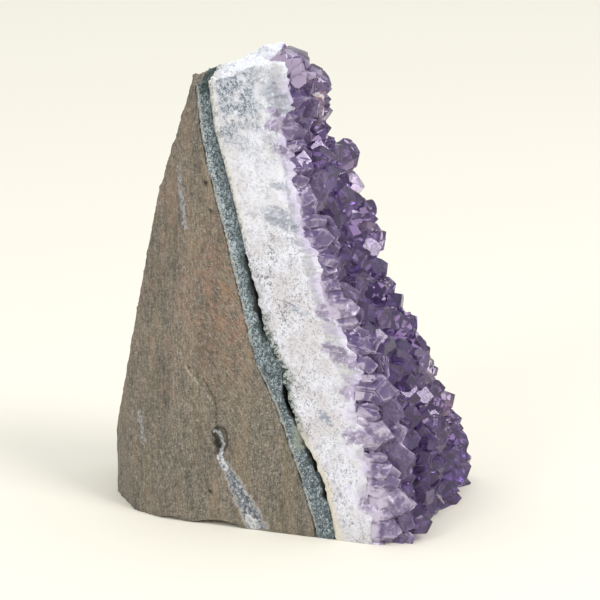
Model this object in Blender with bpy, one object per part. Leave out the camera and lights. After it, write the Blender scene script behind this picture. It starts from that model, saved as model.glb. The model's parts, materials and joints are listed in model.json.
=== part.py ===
"""Amethyst geode, a section sawn and broken from the wall of the cavity, in metres, +Z up.

Four layers have grown on each other, from the back (+Y) to the front (-Y): dark lava rock, a thin
green rind, white quartz and a crust of amethyst points. The base is sawn flat and the piece stands on it.
The side at -X is sawn too and shows all four layers. The back, the far side (+X) and the top are broken.
"""

import math
import random

import bmesh
import bpy
import numpy as np
from mathutils import Matrix, Vector, noise

MM = 0.001
COLLECTION = "amethyst_geode"

# The blank that everything is cut from reaches past the piece on every side. The joint parts two layers.
BLANK_SIZE = Vector((70, 100, 120)) * MM
ACROSS = (-36 * MM, 36 * MM)
INWARD = (-52 * MM, 52 * MM)
UPWARD = (-8 * MM, 108 * MM)
JOINT = 0.3 * MM
CUT_TOLERANCE = 0.0005 * MM

# Sawn faces, each through a point. A heading turns the face's outward direction from -X towards +Y, and a
# lean tips it back with height.
SAWN_SIDE_FOOT = Vector((-23.3, 0, 0)) * MM
SAWN_SIDE_LEAN = 5
GROUND_FACETS = (
    (Vector((-23.6, 14.4, 0)) * MM, 10, 5.4),
    (Vector((-23.4, 17.0, 0)) * MM, 21, 5.65),
    (Vector((-22.6, 22.2, 0)) * MM, 36, 3.4),
    (Vector((-16.0, 28.6, 0)) * MM, 50, 0.5),
    (Vector((-11.8, 32.5, 0)) * MM, 70, 0),
    (Vector((-11.8, 32.3, 15)) * MM, 70, 10.7),
    (Vector((-8.6, 23.3, 65)) * MM, 70, 17.2),
)

# Broken faces, as offsets at heights above the base: (height, offset), both in millimetres.
FAR_SIDE = (
    (0, 22), (5, 21.5), (9, 19.5), (15, 15), (22, 10.5), (30, 9),
    (58, 8), (67, 8.5), (71, 5), (76, -4), (97, -7),
)
BACK = ((0, 34.2), (18, 33.6), (62, 24.6), (98, 13.6))
CREST = ((-16, 94.6), (-8, 95), (-3, 96.2), (1, 95), (6, 92.8), (12, 90.4), (20, 87))
BREAK_RELIEF = 1.8 * MM
BREAK_GRAIN = 9 * MM
CREST_RELIEF = 1.26 * MM
CREST_GRAIN = 4.5 * MM
FAR_SIDE_TURN = 0.08
FOOT_STARTS = 9 * MM
FRONT_Y = -25 * MM
FOOT_FADE = 70 * MM
BACK_TURN = 0.12
CREST_FALL = 0.3
CREST_MIDDLE = -8 * MM
FAR_SIDE_CELLS = (14, 26)
BACK_CELLS = (9, 16)
CREST_CELLS = (18, 26)

# The relief of each rough face is read from its own slice of one noise field.
FAR_SIDE_SLICE = 3
BACK_SLICE = 7
CREST_SLICE = 5
VALLEY_SLICE = 2

# Layer boundaries on the sawn side, as (height, Y) in millimetres.
ROCK_FRONT = ((0, -16.4), (18, -9.7), (26, -6.4), (34, -1.9), (57, 4.6), (76, 10.4), (98, 13.6))
RIND_FRONT = (
    (0, -20.1), (12, -16.6), (22, -10.6), (28, -8), (32, -8.2),
    (39, -3.8), (57, 1.2), (72, 5.6), (80, 8.4), (98, 11.2),
)
QUARTZ_FRONT = (
    (0, -28.4), (10, -27), (20, -25.6), (30, -23.2), (37, -18.2),
    (45, -15.8), (53, -12.6), (62, -9.6), (77, -6.6), (98, -3.4),
)
CRYSTAL_RIM = (
    (0, -32.8), (8, -33.3), (20, -30.8), (30, -29.3), (37, -25),
    (45, -20.6), (57, -16), (66, -13), (77, -11), (98, -7.6),
)
LAYER_WAVE = 1.6 * MM
WAVE_LENGTH = 22 * MM
LAYER_CELLS = (8, 20)

# Open cracks between the rind and the quartz: (lowest height, highest height, width), in millimetres.
CRACKS = ((9, 20, 0.9), (23, 32, 1.0), (38, 56, 0.6))
CRACK_DEPTH = 9 * MM

# A gas bubble open in the sawn side, and the chips broken from the foot: (0, Y, height), then half of the
# size along each axis.
BUBBLE = (Vector((0, 5.9, 17.2)) * MM, Vector((1.6, 1.2, 2.7)) * MM)
CHIPS = (
    (Vector((0, 5.2, -0.3)) * MM, Vector((2.2, 5.4, 1.3)) * MM),
    (Vector((0, 15.5, -0.3)) * MM, Vector((1.6, 3.2, 0.9)) * MM),
)
HOLLOW_SEGMENTS = 10
HOLLOW_RINGS = 7

# Amethyst points: hexagonal prisms that widen from their roots, each closed by three large faces and three
# small ones.
SEED = 24
SPACING = 5.1 * MM
SCATTER = 0.28
SMALLEST_RADIUS = 2.8 * MM
LARGEST_RADIUS = 4.2 * MM
RADIUS_BIAS = 1.5
ROOT_TAPER = 0.85
ROOT_LENGTH = 5 * MM
CRUST_SINK = 1.5 * MM
LEAST_REACH = -0.34 * MM
MOST_REACH = 1.7 * MM
MOST_TILT = math.radians(19)
TIP_FACE_ANGLE = math.radians(51.8)
LARGE_FACE_INSET = (0.0, 0.22)
SMALL_FACE_INSET = (-0.26, -0.1)
MOUND_LENGTH = 13 * MM
MOUND_HEIGHT = 2.6 * MM
VALLEY_CELLS = (9, 20)
RIM_MARGIN = 1.0 * MM

COLOURS = {
    "basalt_matrix": ((0.21, 0.19, 0.155, 1), 0.85),
    "chalcedony_rind": ((0.2, 0.26, 0.27, 1), 0.6),
    "white_quartz": ((0.72, 0.71, 0.71, 1), 0.5),
    "amethyst_points": ((0.13, 0.09, 0.2, 1), 0.15),
}


def clear_scene():
    for obj in list(bpy.data.objects):
        bpy.data.objects.remove(obj, do_unlink=True)


def new_collection(name, parent=None):
    collection = bpy.data.collections.new(name)
    (parent or bpy.context.scene.collection).children.link(collection)
    return collection


def new_object(name, bm, collection):
    """An object that holds a bmesh, with its faces turned outward."""
    bmesh.ops.recalc_face_normals(bm, faces=bm.faces[:])
    mesh = bpy.data.meshes.new(name)
    bm.to_mesh(mesh)
    bm.free()
    obj = bpy.data.objects.new(name, mesh)
    collection.objects.link(obj)
    return obj


def as_guide(obj):
    obj.hide_render = True
    obj.display_type = "WIRE"
    return obj


def baked(obj):
    """Replaces an object's mesh by the one that its modifiers make."""
    bpy.context.view_layer.update()
    graph = bpy.context.evaluated_depsgraph_get()
    mesh = bpy.data.meshes.new_from_object(obj.evaluated_get(graph))
    obj.modifiers.clear()
    obj.data = mesh
    return obj


def boolean(obj, other, operation, solver="EXACT"):
    """Cuts or joins an object with another, or with all the objects of a collection at once."""
    modifier = obj.modifiers.new(f"{operation.title()} {other.name}", "BOOLEAN")
    modifier.operation = operation
    modifier.solver = solver
    if isinstance(other, bpy.types.Collection):
        modifier.operand_type = "COLLECTION"
        modifier.collection = other
    else:
        modifier.object = other


def offset_at(profile, height):
    """The offset in metres that a (height, offset) profile in millimetres has at a height in metres."""
    heights, offsets = zip(*profile)
    return float(np.interp(height / MM, heights, offsets)) * MM


def relief(point, grain, height):
    return noise.noise(point / grain) * height


def sawn_x(z):
    """X of the sawn side at a height."""
    return SAWN_SIDE_FOOT.x + z * math.tan(math.radians(SAWN_SIDE_LEAN))


def outward(heading, lean):
    turn = math.radians(heading)
    tip = math.radians(lean)
    return Vector((-math.cos(turn) * math.cos(tip), math.sin(turn) * math.cos(tip), math.sin(tip)))


def trim(bm, point, normal):
    """Cuts away what lies outside a plane, and closes the cut."""
    geometry = bm.verts[:] + bm.edges[:] + bm.faces[:]
    cut = bmesh.ops.bisect_plane(
        bm, geom=geometry, plane_co=point, plane_no=normal, clear_outer=True, dist=CUT_TOLERANCE
    )
    edges = [item for item in cut["geom_cut"] if isinstance(item, bmesh.types.BMEdge)]
    if edges:
        bmesh.ops.contextual_create(bm, geom=edges)


def swept_surface(name, surface, u_range, v_range, cells, sweep, collection):
    """A closed solid: the surface(u, v) and all that it passes when it is moved along the sweep."""
    bm = bmesh.new()
    bmesh.ops.create_grid(bm, x_segments=cells[0], y_segments=cells[1], size=0.5)
    for vertex in bm.verts:
        u = u_range[0] + (vertex.co.x + 0.5) * (u_range[1] - u_range[0])
        v = v_range[0] + (vertex.co.y + 0.5) * (v_range[1] - v_range[0])
        vertex.co = surface(u, v)
    made = bmesh.ops.extrude_face_region(bm, geom=bm.faces[:])
    far_end = [item for item in made["geom"] if isinstance(item, bmesh.types.BMVert)]
    bmesh.ops.translate(bm, verts=far_end, vec=sweep)
    return as_guide(new_object(name, bm, collection))


def layer_depth(profile, x, z):
    """Y of a layer boundary, which waves a little as it runs back from the sawn side."""
    fade = min(1.0, max(0.0, x - sawn_x(z)) / WAVE_LENGTH)
    wave = noise.noise(Vector((x, 0, z)) / WAVE_LENGTH) * LAYER_WAVE * fade
    return offset_at(profile, z) + wave


def crack_width(x, z):
    fade = min(1.0, max(0.0, 1.0 - (x - sawn_x(z)) / CRACK_DEPTH))
    width = 0.0
    for low, high, widest in CRACKS:
        middle = (low + high) / 2
        reach = (high - low) / 2
        width += max(0.0, 1.0 - abs(z / MM - middle) / reach) * widest * MM
    return width * fade


def layer_space(name, profile, shift, towards, collection, cracked=False):
    """All of space in front of (towards -1) or behind (towards 1) a layer boundary moved by the shift."""

    def surface(x, z):
        opening = crack_width(x, z) if cracked else 0.0
        return Vector((x, layer_depth(profile, x, z) + shift - opening, z))

    sweep = Vector((0, towards * BLANK_SIZE.y, 0))
    return swept_surface(name, surface, ACROSS, UPWARD, LAYER_CELLS, sweep, collection)


def far_side(y, z):
    """A point of the broken far side. Its foot flares out at the front and less towards the back."""
    x = offset_at(FAR_SIDE, z)
    foot = max(0.0, x - FOOT_STARTS)
    back_off = min(1.0, max(0.0, y - FRONT_Y) / FOOT_FADE)
    rough = relief(Vector((FAR_SIDE_SLICE, y, z)), BREAK_GRAIN, BREAK_RELIEF)
    return Vector((x - foot * back_off - FAR_SIDE_TURN * y + rough, y, z))


def back(x, z):
    rough = relief(Vector((x, BACK_SLICE, z)), BREAK_GRAIN, BREAK_RELIEF)
    return Vector((x, offset_at(BACK, z) - BACK_TURN * max(0.0, x) + rough, z))


def crest(x, y):
    rough = relief(Vector((x, y, CREST_SLICE)), CREST_GRAIN, CREST_RELIEF)
    fall = CREST_FALL * abs(x - CREST_MIDDLE)
    return Vector((x, y, offset_at(CREST, y) - fall + rough))


def make_breaks(collection):
    """What lies past the broken far side, back and top."""
    breaks = new_collection("breaks", collection)
    reach = BLANK_SIZE.x
    along_x = Vector((reach, 0, 0))
    along_y = Vector((0, reach, 0))
    upward = Vector((0, 0, reach))
    swept_surface("beyond_far_side", far_side, INWARD, UPWARD, FAR_SIDE_CELLS, along_x, breaks)
    swept_surface("beyond_back", back, ACROSS, UPWARD, BACK_CELLS, along_y, breaks)
    swept_surface("above_crest", crest, ACROSS, INWARD, CREST_CELLS, upward, breaks)
    return breaks


def make_blank(name, facets, breaks, collection):
    """The rock without its points: the flat facets are sawn first, then the rest is broken off."""
    bm = bmesh.new()
    bmesh.ops.create_cube(bm, size=1)
    bmesh.ops.scale(bm, vec=BLANK_SIZE, verts=bm.verts[:])
    middle = Vector((0, 0, (BLANK_SIZE.z + UPWARD[0]) / 2))
    bmesh.ops.translate(bm, vec=middle, verts=bm.verts[:])
    for point, normal in facets:
        trim(bm, point, normal)
    blank = as_guide(new_object(name, bm, collection))
    if breaks:
        boolean(blank, breaks, "DIFFERENCE")
    return baked(blank)


def material_of(name):
    colour, roughness = COLOURS[name]
    material = bpy.data.materials.new(name)
    material.use_nodes = True
    shader = material.node_tree.nodes["Principled BSDF"]
    shader.inputs["Base Color"].default_value = colour
    shader.inputs["Roughness"].default_value = roughness
    shader.inputs["Metallic"].default_value = 0.0
    return material


def make_layer(name, blank, spaces, collection):
    """The part of the blank that lies in every one of the spaces."""
    layer = bpy.data.objects.new(name, blank.data.copy())
    collection.objects.link(layer)
    layer.data.materials.clear()
    layer.data.materials.append(material_of(name))
    for space in spaces:
        boolean(layer, space, "INTERSECT")
    return layer


def keep_main_body(obj):
    """Drops the chips and sealed pockets that the joins leave beside the one large body."""
    bm = bmesh.new()
    bm.from_mesh(obj.data)
    waiting = set(bm.verts)
    bodies = []
    while waiting:
        start = waiting.pop()
        body = {start}
        open_ends = [start]
        while open_ends:
            vertex = open_ends.pop()
            for link in vertex.link_edges:
                near = link.other_vert(vertex)
                if near not in body:
                    body.add(near)
                    open_ends.append(near)
        waiting -= body
        bodies.append(body)
    bodies.sort(key=len)
    for body in bodies[:-1]:
        bmesh.ops.delete(bm, geom=list(body), context="VERTS")
    bm.to_mesh(obj.data)
    bm.free()


def add_bubble_and_chips(rock, collection):
    hollows = new_collection("hollows", collection)
    for number, (place, size) in enumerate((BUBBLE, *CHIPS)):
        bm = bmesh.new()
        bmesh.ops.create_uvsphere(bm, u_segments=HOLLOW_SEGMENTS, v_segments=HOLLOW_RINGS, radius=1)
        bmesh.ops.scale(bm, vec=size, verts=bm.verts[:])
        on_side = place + Vector((sawn_x(place.z), 0, 0))
        bmesh.ops.translate(bm, vec=on_side, verts=bm.verts[:])
        as_guide(new_object(f"hollow_{number}", bm, hollows))
    boolean(rock, hollows, "DIFFERENCE")


def make_point(name, radius, reach, dice, collection):
    """One point along +Z. Its shoulder is at the reach above the origin, and its root is below."""
    apothem = radius * math.cos(math.radians(30))
    length = ROOT_LENGTH + reach + 2 * radius
    bm = bmesh.new()
    bmesh.ops.create_cone(
        bm, cap_ends=True, segments=6, radius1=ROOT_TAPER * radius, radius2=radius, depth=length
    )
    bmesh.ops.translate(bm, vec=Vector((0, 0, length / 2 - ROOT_LENGTH)), verts=bm.verts[:])
    shoulder = apothem * math.sin(TIP_FACE_ANGLE) + reach * math.cos(TIP_FACE_ANGLE)
    for face in range(6):
        insets = SMALL_FACE_INSET if face % 2 else LARGE_FACE_INSET
        inset = dice.uniform(*insets)
        tip = Matrix.Rotation(TIP_FACE_ANGLE, 3, "Y")
        turn = Matrix.Rotation(math.radians(30 + 60 * face), 3, "Z")
        normal = turn @ tip @ Vector((0, 0, 1))
        trim(bm, normal * (shoulder - inset * radius), normal)
    return as_guide(new_object(name, bm, collection))


def crust_depth(x, z):
    """Y of the valleys between the points."""
    mounds = relief(Vector((x, VALLEY_SLICE, z)), MOUND_LENGTH, MOUND_HEIGHT)
    return offset_at(CRYSTAL_RIM, z) + CRUST_SINK + mounds


def valley(x, z):
    return Vector((x, crust_depth(x, z), z))


def make_points(collection):
    """The amethyst points, on a hexagonal grid that is scattered, over the whole front of the crust."""
    dice = random.Random(SEED)
    points = new_collection("points", collection)
    row_height = SPACING * math.cos(math.radians(30))
    for row in range(int(UPWARD[1] / row_height)):
        for column in range(int(BLANK_SIZE.x / SPACING)):
            stagger = 0.5 * (row % 2)
            x = SAWN_SIDE_FOOT.x + (column + stagger + dice.uniform(-SCATTER, SCATTER)) * SPACING
            z = row * row_height + dice.uniform(-SCATTER, SCATTER) * SPACING
            size = dice.random() ** RADIUS_BIAS
            radius = SMALLEST_RADIUS + (LARGEST_RADIUS - SMALLEST_RADIUS) * size
            reach = dice.uniform(LEAST_REACH, MOST_REACH)
            tilts = [dice.uniform(-MOST_TILT, MOST_TILT) for _ in "XY"]
            spin = dice.uniform(0, math.tau)
            y = crust_depth(x, z)
            on_crust = x < far_side(y, z).x - RIM_MARGIN and z < crest(x, y).z - RIM_MARGIN
            if not on_crust or x < sawn_x(z) - radius:
                continue
            rise = crust_depth(x, z + SPACING) - crust_depth(x, z - SPACING)
            slope = math.atan2(rise, 2 * SPACING)
            place = Matrix.Translation((x, y, z)) @ Matrix.Rotation(math.pi / 2 - slope, 4, "X")
            place = place @ Matrix.Rotation(tilts[0], 4, "X") @ Matrix.Rotation(tilts[1], 4, "Y")
            point = make_point(f"point_{row}_{column}", radius, reach, dice, points)
            point.matrix_world = place @ Matrix.Rotation(spin, 4, "Z")
    return points


def make_amethyst(breaks, sawn, front_space, parts, guides):
    """The crust, fused with the points that stand on it, and then sawn."""
    uncut = make_blank("uncut_rock", (), breaks, guides)
    crust = make_layer("amethyst_points", uncut, (), parts)
    forward = Vector((0, -BLANK_SIZE.y, 0))
    hollow = swept_surface("beyond_valleys", valley, ACROSS, UPWARD, VALLEY_CELLS, forward, guides)
    boolean(crust, hollow, "DIFFERENCE")
    # EXACT leaves open edges where so many points cross each other.
    boolean(crust, make_points(guides), "UNION", "MANIFOLD")
    boolean(crust, front_space, "INTERSECT", "MANIFOLD")
    boolean(crust, sawn, "INTERSECT", "MANIFOLD")
    keep_main_body(baked(crust))


def main():
    clear_scene()
    parts = new_collection(COLLECTION)
    guides = new_collection("guides")
    breaks = make_breaks(guides)
    base_cut = (Vector((0, 0, 0)), Vector((0, 0, -1)))
    side_cut = (SAWN_SIDE_FOOT, outward(0, SAWN_SIDE_LEAN))
    saw_cuts = (base_cut, side_cut)
    ground = tuple((foot, outward(heading, lean)) for foot, heading, lean in GROUND_FACETS)
    block = make_blank("block", saw_cuts + ground, breaks, guides)
    behind_rind = layer_space("behind_rind", ROCK_FRONT, JOINT, 1, guides)
    before_rock = layer_space("before_rock", ROCK_FRONT, 0, -1, guides)
    behind_quartz = layer_space("behind_quartz", RIND_FRONT, JOINT, 1, guides)
    before_rind = layer_space("before_rind", RIND_FRONT, 0, -1, guides, cracked=True)
    behind_amethyst = layer_space("behind_amethyst", QUARTZ_FRONT, JOINT, 1, guides)
    before_quartz = layer_space("before_quartz", QUARTZ_FRONT, 0, -1, guides)
    rock = make_layer("basalt_matrix", block, (behind_rind,), parts)
    add_bubble_and_chips(rock, guides)
    make_layer("chalcedony_rind", block, (before_rock, behind_quartz), parts)
    make_layer("white_quartz", block, (before_rind, behind_amethyst), parts)
    sawn = make_blank("inside_saw_cuts", saw_cuts, None, guides)
    make_amethyst(breaks, sawn, before_quartz, parts, guides)


main()
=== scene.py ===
"""Amethyst geode section, dressed: sawn lava rock, green rind, white quartz and a crust of amethyst points.

Meshes are in metres in the frame of the solids, +Z up. The sawn side faces -X, the points face -Y. Tables,
the numbers that shape and mark the skins, and the sizes of patterns are in millimetres.
"""

import json
import logging
import math
import random
from collections.abc import Iterator
from contextlib import contextmanager
from dataclasses import dataclass
from enum import Enum

import bmesh
import bpy
import numpy as np
from mathutils import Matrix, Vector
from mathutils.bvhtree import BVHTree

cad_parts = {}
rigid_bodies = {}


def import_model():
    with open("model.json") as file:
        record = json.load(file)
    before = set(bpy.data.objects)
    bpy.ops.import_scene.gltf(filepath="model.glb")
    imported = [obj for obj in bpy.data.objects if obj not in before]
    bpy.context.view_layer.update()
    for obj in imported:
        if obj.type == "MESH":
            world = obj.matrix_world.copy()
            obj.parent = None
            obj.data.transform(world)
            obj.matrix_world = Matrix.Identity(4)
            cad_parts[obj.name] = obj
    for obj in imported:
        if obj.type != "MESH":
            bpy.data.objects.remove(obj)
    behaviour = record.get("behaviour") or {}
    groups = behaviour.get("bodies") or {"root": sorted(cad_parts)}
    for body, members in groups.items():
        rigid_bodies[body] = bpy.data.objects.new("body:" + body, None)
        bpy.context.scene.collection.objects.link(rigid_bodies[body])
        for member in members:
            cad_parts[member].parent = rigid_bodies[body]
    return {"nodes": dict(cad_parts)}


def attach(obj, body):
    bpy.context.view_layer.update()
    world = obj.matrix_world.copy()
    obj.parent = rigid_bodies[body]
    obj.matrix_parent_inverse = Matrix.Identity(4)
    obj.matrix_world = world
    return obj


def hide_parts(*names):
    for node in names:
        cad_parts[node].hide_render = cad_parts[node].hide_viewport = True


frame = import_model()

Piece = bpy.types.Object
Shelf = bpy.types.Collection
Socket = bpy.types.NodeSocket
Node = bpy.types.Node
Tree = bpy.types.NodeTree
Material = bpy.types.Material
Rows = np.ndarray

MM = 0.001
BODY = "root"
SAWN_FOOT_X = -23.3
SAWN_LEAN = math.radians(5)
SAWN_NORMAL = Vector((-math.cos(SAWN_LEAN), 0, math.sin(SAWN_LEAN)))
FORWARD = Vector((0, -1, 0))
OUTSIDE = 80 * MM
BASE_TRIM = 0.02 * MM

# Layer boundaries on the sawn side, as (height, Y). The white reaches past the quartz into the points' roots.
ROCK_FRONT = ((0, -16.4), (18, -9.7), (26, -6.4), (34, -1.9), (57, 4.6), (76, 10.4), (98, 13.6))
RIND_FRONT = (
    (0, -20.1), (12, -16.6), (22, -10.6), (28, -8), (32, -8.2),
    (39, -3.8), (57, 1.2), (72, 5.6), (80, 8.4), (98, 11.2),
)
QUARTZ_FRONT = (
    (0, -28.4), (10, -27), (20, -25.6), (30, -23.2), (37, -18.2),
    (45, -15.8), (53, -12.6), (62, -9.6), (77, -6.6), (98, -3.4),
)
WHITE_REACH = (
    (0, -27.4), (9, -27.1), (17, -25.3), (25, -23), (33, -23.5), (40, -20.4), (48, -16.4), (56, -13.6),
    (61, -10.8), (67, -10.2), (71, -7.8), (76, -6.8), (81, -5.8), (85, -7), (90, -6.2), (97, -4.6),
)

# Heights between which the joint of rind and quartz is open, from bottom to top.
OPEN_CRACKS = ((7, 20), (23, 33), (38, 57))

# A face with this direction mirrors the key light.
GLINT_NORMAL = Vector((-0.643, -0.540, 0.543))

CREST_POINT = Vector((0, -1.4, 96.2)) * MM
CREST_NORMAL = Vector((0, -0.214, 0.977))
QUARTZ_IOR = 1.54
QUARTZ_DEPTH = {"Subsurface_Radius": (1.0, 1.0, 1.0), "Subsurface_Scale": 0.8 * MM, "IOR": QUARTZ_IOR}

log = logging.getLogger("amethyst_geode")


class Slot(Enum):
    """The material slots of the record."""

    BASALT = "basalt"
    RIND = "rind"
    QUARTZ = "white_quartz"
    AMETHYST = "amethyst"


# ---------------------------------------------------------------- numbers over points


def dice(cells: Rows, seed: int) -> Rows:
    """Rolls a repeatable number for each cell of a lattice.

    Args:
        cells: whole numbers, one row of three for each cell.
        seed: picks another set of rolls.

    Returns:
        Numbers from 0 to 1.
    """
    mixed = cells.astype(np.int64) @ np.array([73856093, 19349663, 83492791]) + seed * 97561
    mixed = ((mixed ^ (mixed >> 13)) * 1274126177) & 0x7FFFFFFF
    mixed = ((mixed ^ (mixed >> 15)) * 668265263) & 0x7FFFFFFF
    return ((mixed ^ (mixed >> 16)) % 65536) / 65535


def swell(points: Rows, size: float | tuple, seed: int, octaves: int = 1) -> Rows:
    """Soft noise from -1 to 1.

    Args:
        points: one row for each point.
        size: distance between one swell and the next, or one for each axis.
        seed: picks another noise.
        octaves: how many finer layers are added, each half as large and half as strong.

    Returns:
        One number for each point.
    """
    total = np.zeros(len(points))
    for octave in range(octaves):
        scaled = points / (np.asarray(size) / 2**octave)
        cells = np.floor(scaled)
        part = step(scaled - cells, 0, 1)
        for corner in range(8):
            side = np.array([corner & 1, corner >> 1 & 1, corner >> 2 & 1])
            weight = np.prod(np.where(side == 1, part, 1 - part), axis=1)
            total += weight * (2 * dice(cells + side, seed + 7 * octave) - 1) / 2**octave
    return total


def shards(points: Rows, size: float, seed: int) -> Rows:
    """Splits space into angular shards round scattered middles, each with a flat tilted face.

    Args:
        points: one row for each point.
        size: width of a shard.
        seed: picks another split.

    Returns:
        The face's height at each point, from about -1 to 1.
    """
    scaled = points / size
    home = np.floor(scaled)
    best = np.full(len(points), np.inf)
    face = np.zeros(len(points))
    for offset in np.ndindex(3, 3, 3):
        cells = home + np.array(offset) - 1
        away = scaled - cells - np.stack([dice(cells, seed + axis) for axis in range(3)], axis=1)
        distance = np.linalg.norm(away, axis=1)
        tilt = np.stack([dice(cells, seed + 5 + axis) for axis in range(3)], axis=1) * 2 - 1
        nearer = distance < best
        best[nearer] = distance[nearer]
        face[nearer] = np.einsum("ij,ij->i", away, tilt)[nearer]
    return face


def step(values: Rows, low: float, high: float) -> Rows:
    """Rises smoothly from 0 at low to 1 at high, or falls where high is the smaller."""
    part = np.clip((values - low) / (high - low), 0, 1)
    return part * part * (3 - 2 * part)


def boundary(profile: tuple, heights: Rows | float) -> Rows:
    """Y of a layer boundary at some heights."""
    return np.interp(heights, *zip(*profile))


def behind(points: Rows, profile: tuple) -> Rows:
    """How far each point lies behind a layer boundary."""
    return points[:, 1] - boundary(profile, points[:, 2])


def crack_share(heights: Rows) -> Rows:
    """How open the joint of rind and quartz is at some heights, from 0 to 1.

    Args:
        heights: one for each point.

    Returns:
        One number for each height.
    """
    middles = [(low + high) / 2 for low, high in OPEN_CRACKS]
    spans = [high - low for low, high in OPEN_CRACKS]
    shares = [step(np.abs(heights - middle) / span * 2, 1.0, 0.75) for middle, span in zip(middles, spans)]
    return np.max(shares, axis=0)


def under_saw(points: Rows) -> Rows:
    """Depth of each point below the sawn side."""
    return (points[:, 0] - SAWN_FOOT_X - points[:, 2] * math.tan(SAWN_LEAN)) * math.cos(SAWN_LEAN)


def along_run(points: Rows, start: tuple, end: tuple) -> tuple[Rows, Rows]:
    """Measures points against a straight run on the sawn side.

    Args:
        points: one row for each point.
        start: (Y, height) of the run's start.
        end: the same for its end.

    Returns:
        How far along the run each point lies, 0 at its start and 1 at its end, and its distance from it.
    """
    away = points[:, 1:] - start
    run = np.subtract(end, start)
    share = away @ run / (run @ run)
    return share, np.linalg.norm(away - np.clip(share, 0, 1)[:, None] * run, axis=1)


def near_line(points: Rows, line: tuple, reach: float, gain: float = 1.0) -> Rows:
    """Nearness to a line on the sawn side.

    Args:
        points: one row for each point.
        line: (Y, height) pairs.
        reach: distance at which the nearness is 0.
        gain: what the nearness is multiplied by before it is kept under 1.

    Returns:
        1 on the line, falling to 0 at the reach.
    """
    gaps = [along_run(points, start, end)[1] for start, end in zip(line, line[1:])]
    return np.clip((1 - np.min(gaps, axis=0) / reach) * gain, 0, 1)


# ---------------------------------------------------------------- objects


def take(obj: Piece) -> None:
    """Makes an object the only selected one, and the active one.

    Args:
        obj: the object.
    """
    bpy.ops.object.select_all(action="DESELECT")
    obj.select_set(True)
    bpy.context.view_layer.objects.active = obj


@contextmanager
def editing(obj: Piece) -> Iterator[None]:
    """Keeps an object in edit mode, at first with all of it selected.

    Args:
        obj: the object.

    Yields:
        Nothing, once the object is in edit mode.
    """
    take(obj)
    bpy.ops.object.mode_set(mode="EDIT")
    bpy.ops.mesh.select_all(action="SELECT")
    yield
    bpy.ops.object.mode_set(mode="OBJECT")


def apply_modifier(obj: Piece, kind: str, **settings: object) -> None:
    """Adds a modifier and applies it.

    Args:
        obj: the object.
        kind: the modifier's type.
        settings: its properties.
    """
    take(obj)
    modifier = obj.modifiers.new(kind.title(), kind)
    for name, value in settings.items():
        setattr(modifier, name, value)
    bpy.ops.object.modifier_apply(modifier=modifier.name)


def node_copy(node: str, name: str) -> Piece:
    """Copies a CAD node and merges its loose triangles into one closed skin.

    Args:
        node: the CAD node.
        name: the copy's name.

    Returns:
        The copy, with no material.
    """
    obj = bpy.data.objects.new(name, frame["nodes"][node].data.copy())
    bpy.context.scene.collection.objects.link(obj)
    obj.data.name = name
    obj.data.materials.clear()
    with editing(obj):
        bpy.ops.mesh.remove_doubles(threshold=0.0005 * MM)
        bpy.ops.mesh.customdata_custom_splitnormals_clear()
    bpy.ops.object.shade_flat()
    return obj


def read(items: bpy.types.bpy_prop_collection, name: str) -> Rows:
    """Reads a property of three numbers from many parts of a mesh.

    Args:
        items: the parts.
        name: the property.

    Returns:
        One row for each part.
    """
    values = np.empty(len(items) * 3, np.float32)
    items.foreach_get(name, values)
    return values.reshape(-1, 3).astype(float)


def points_of(obj: Piece) -> Rows:
    """The places of an object's vertices in millimetres, one row each."""
    return read(obj.data.vertices, "co") / MM


def fresh_skin(obj: Piece, cell: float) -> tuple[Rows, Rows]:
    """Covers an object with small even faces, and returns its vertices' places and directions."""
    apply_modifier(obj, "REMESH", mode="VOXEL", voxel_size=cell * MM, adaptivity=0.0)
    return points_of(obj), read(obj.data.vertex_normals, "vector")


def sharp_ridges(obj: Piece, angle: float) -> Rows:
    """Finds the vertices on an object's outward edges.

    Args:
        obj: the object.
        angle: how sharply the faces beside an edge have to turn, in radians.

    Returns:
        For each vertex, 1 on such an edge and 0 elsewhere.
    """
    form = bmesh.new()
    form.from_mesh(obj.data)
    found = np.zeros(len(form.verts))
    for edge in form.edges:
        faces = sorted(edge.link_faces, key=lambda face: face.index)
        if len(faces) != 2 or faces[0].normal.dot(faces[1].normal) >= math.cos(angle):
            continue
        across = faces[1].calc_center_median() - faces[0].calc_center_median()
        if across.dot(faces[0].normal) < 0:
            found[[vertex.index for vertex in edge.verts]] = 1
    form.free()
    return found


def put_points(obj: Piece, places: Rows) -> None:
    """Moves an object's vertices, none of them under the base.

    Args:
        obj: the object.
        places: the new places in millimetres, one row for each vertex.
    """
    places[:, 2] = np.maximum(places[:, 2], 0)
    obj.data.vertices.foreach_set("co", (places * MM).astype(np.float32).ravel())
    obj.data.update()


def mark(obj: Piece, **marks: Rows | float) -> None:
    """Writes numbers on the vertices, which materials read by their names.

    Args:
        obj: the object.
        marks: one number for each vertex or one for all, by name.
    """
    for name, values in marks.items():
        shares = np.broadcast_to(np.clip(values, 0, 1), len(obj.data.vertices))
        obj.data.attributes.new(name, "FLOAT", "POINT").data.foreach_set("value", shares.astype(np.float32))


def finish_piece(obj: Piece, slot: Slot, material: Material, *nodes: str) -> None:
    """Gives a piece its material, ties it to the body and hides the CAD nodes that it replaces.

    Args:
        obj: the finished piece.
        slot: the material slot of the record. Not used.
        material: the piece's material.
        nodes: the CAD nodes that it stands for.
    """
    obj.data.materials.clear()
    obj.data.materials.append(material)
    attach(obj, BODY)
    if nodes:
        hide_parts(*nodes)
    log.info("%s: %d faces", obj.name, len(obj.data.polygons))


# ---------------------------------------------------------------- materials


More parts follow.
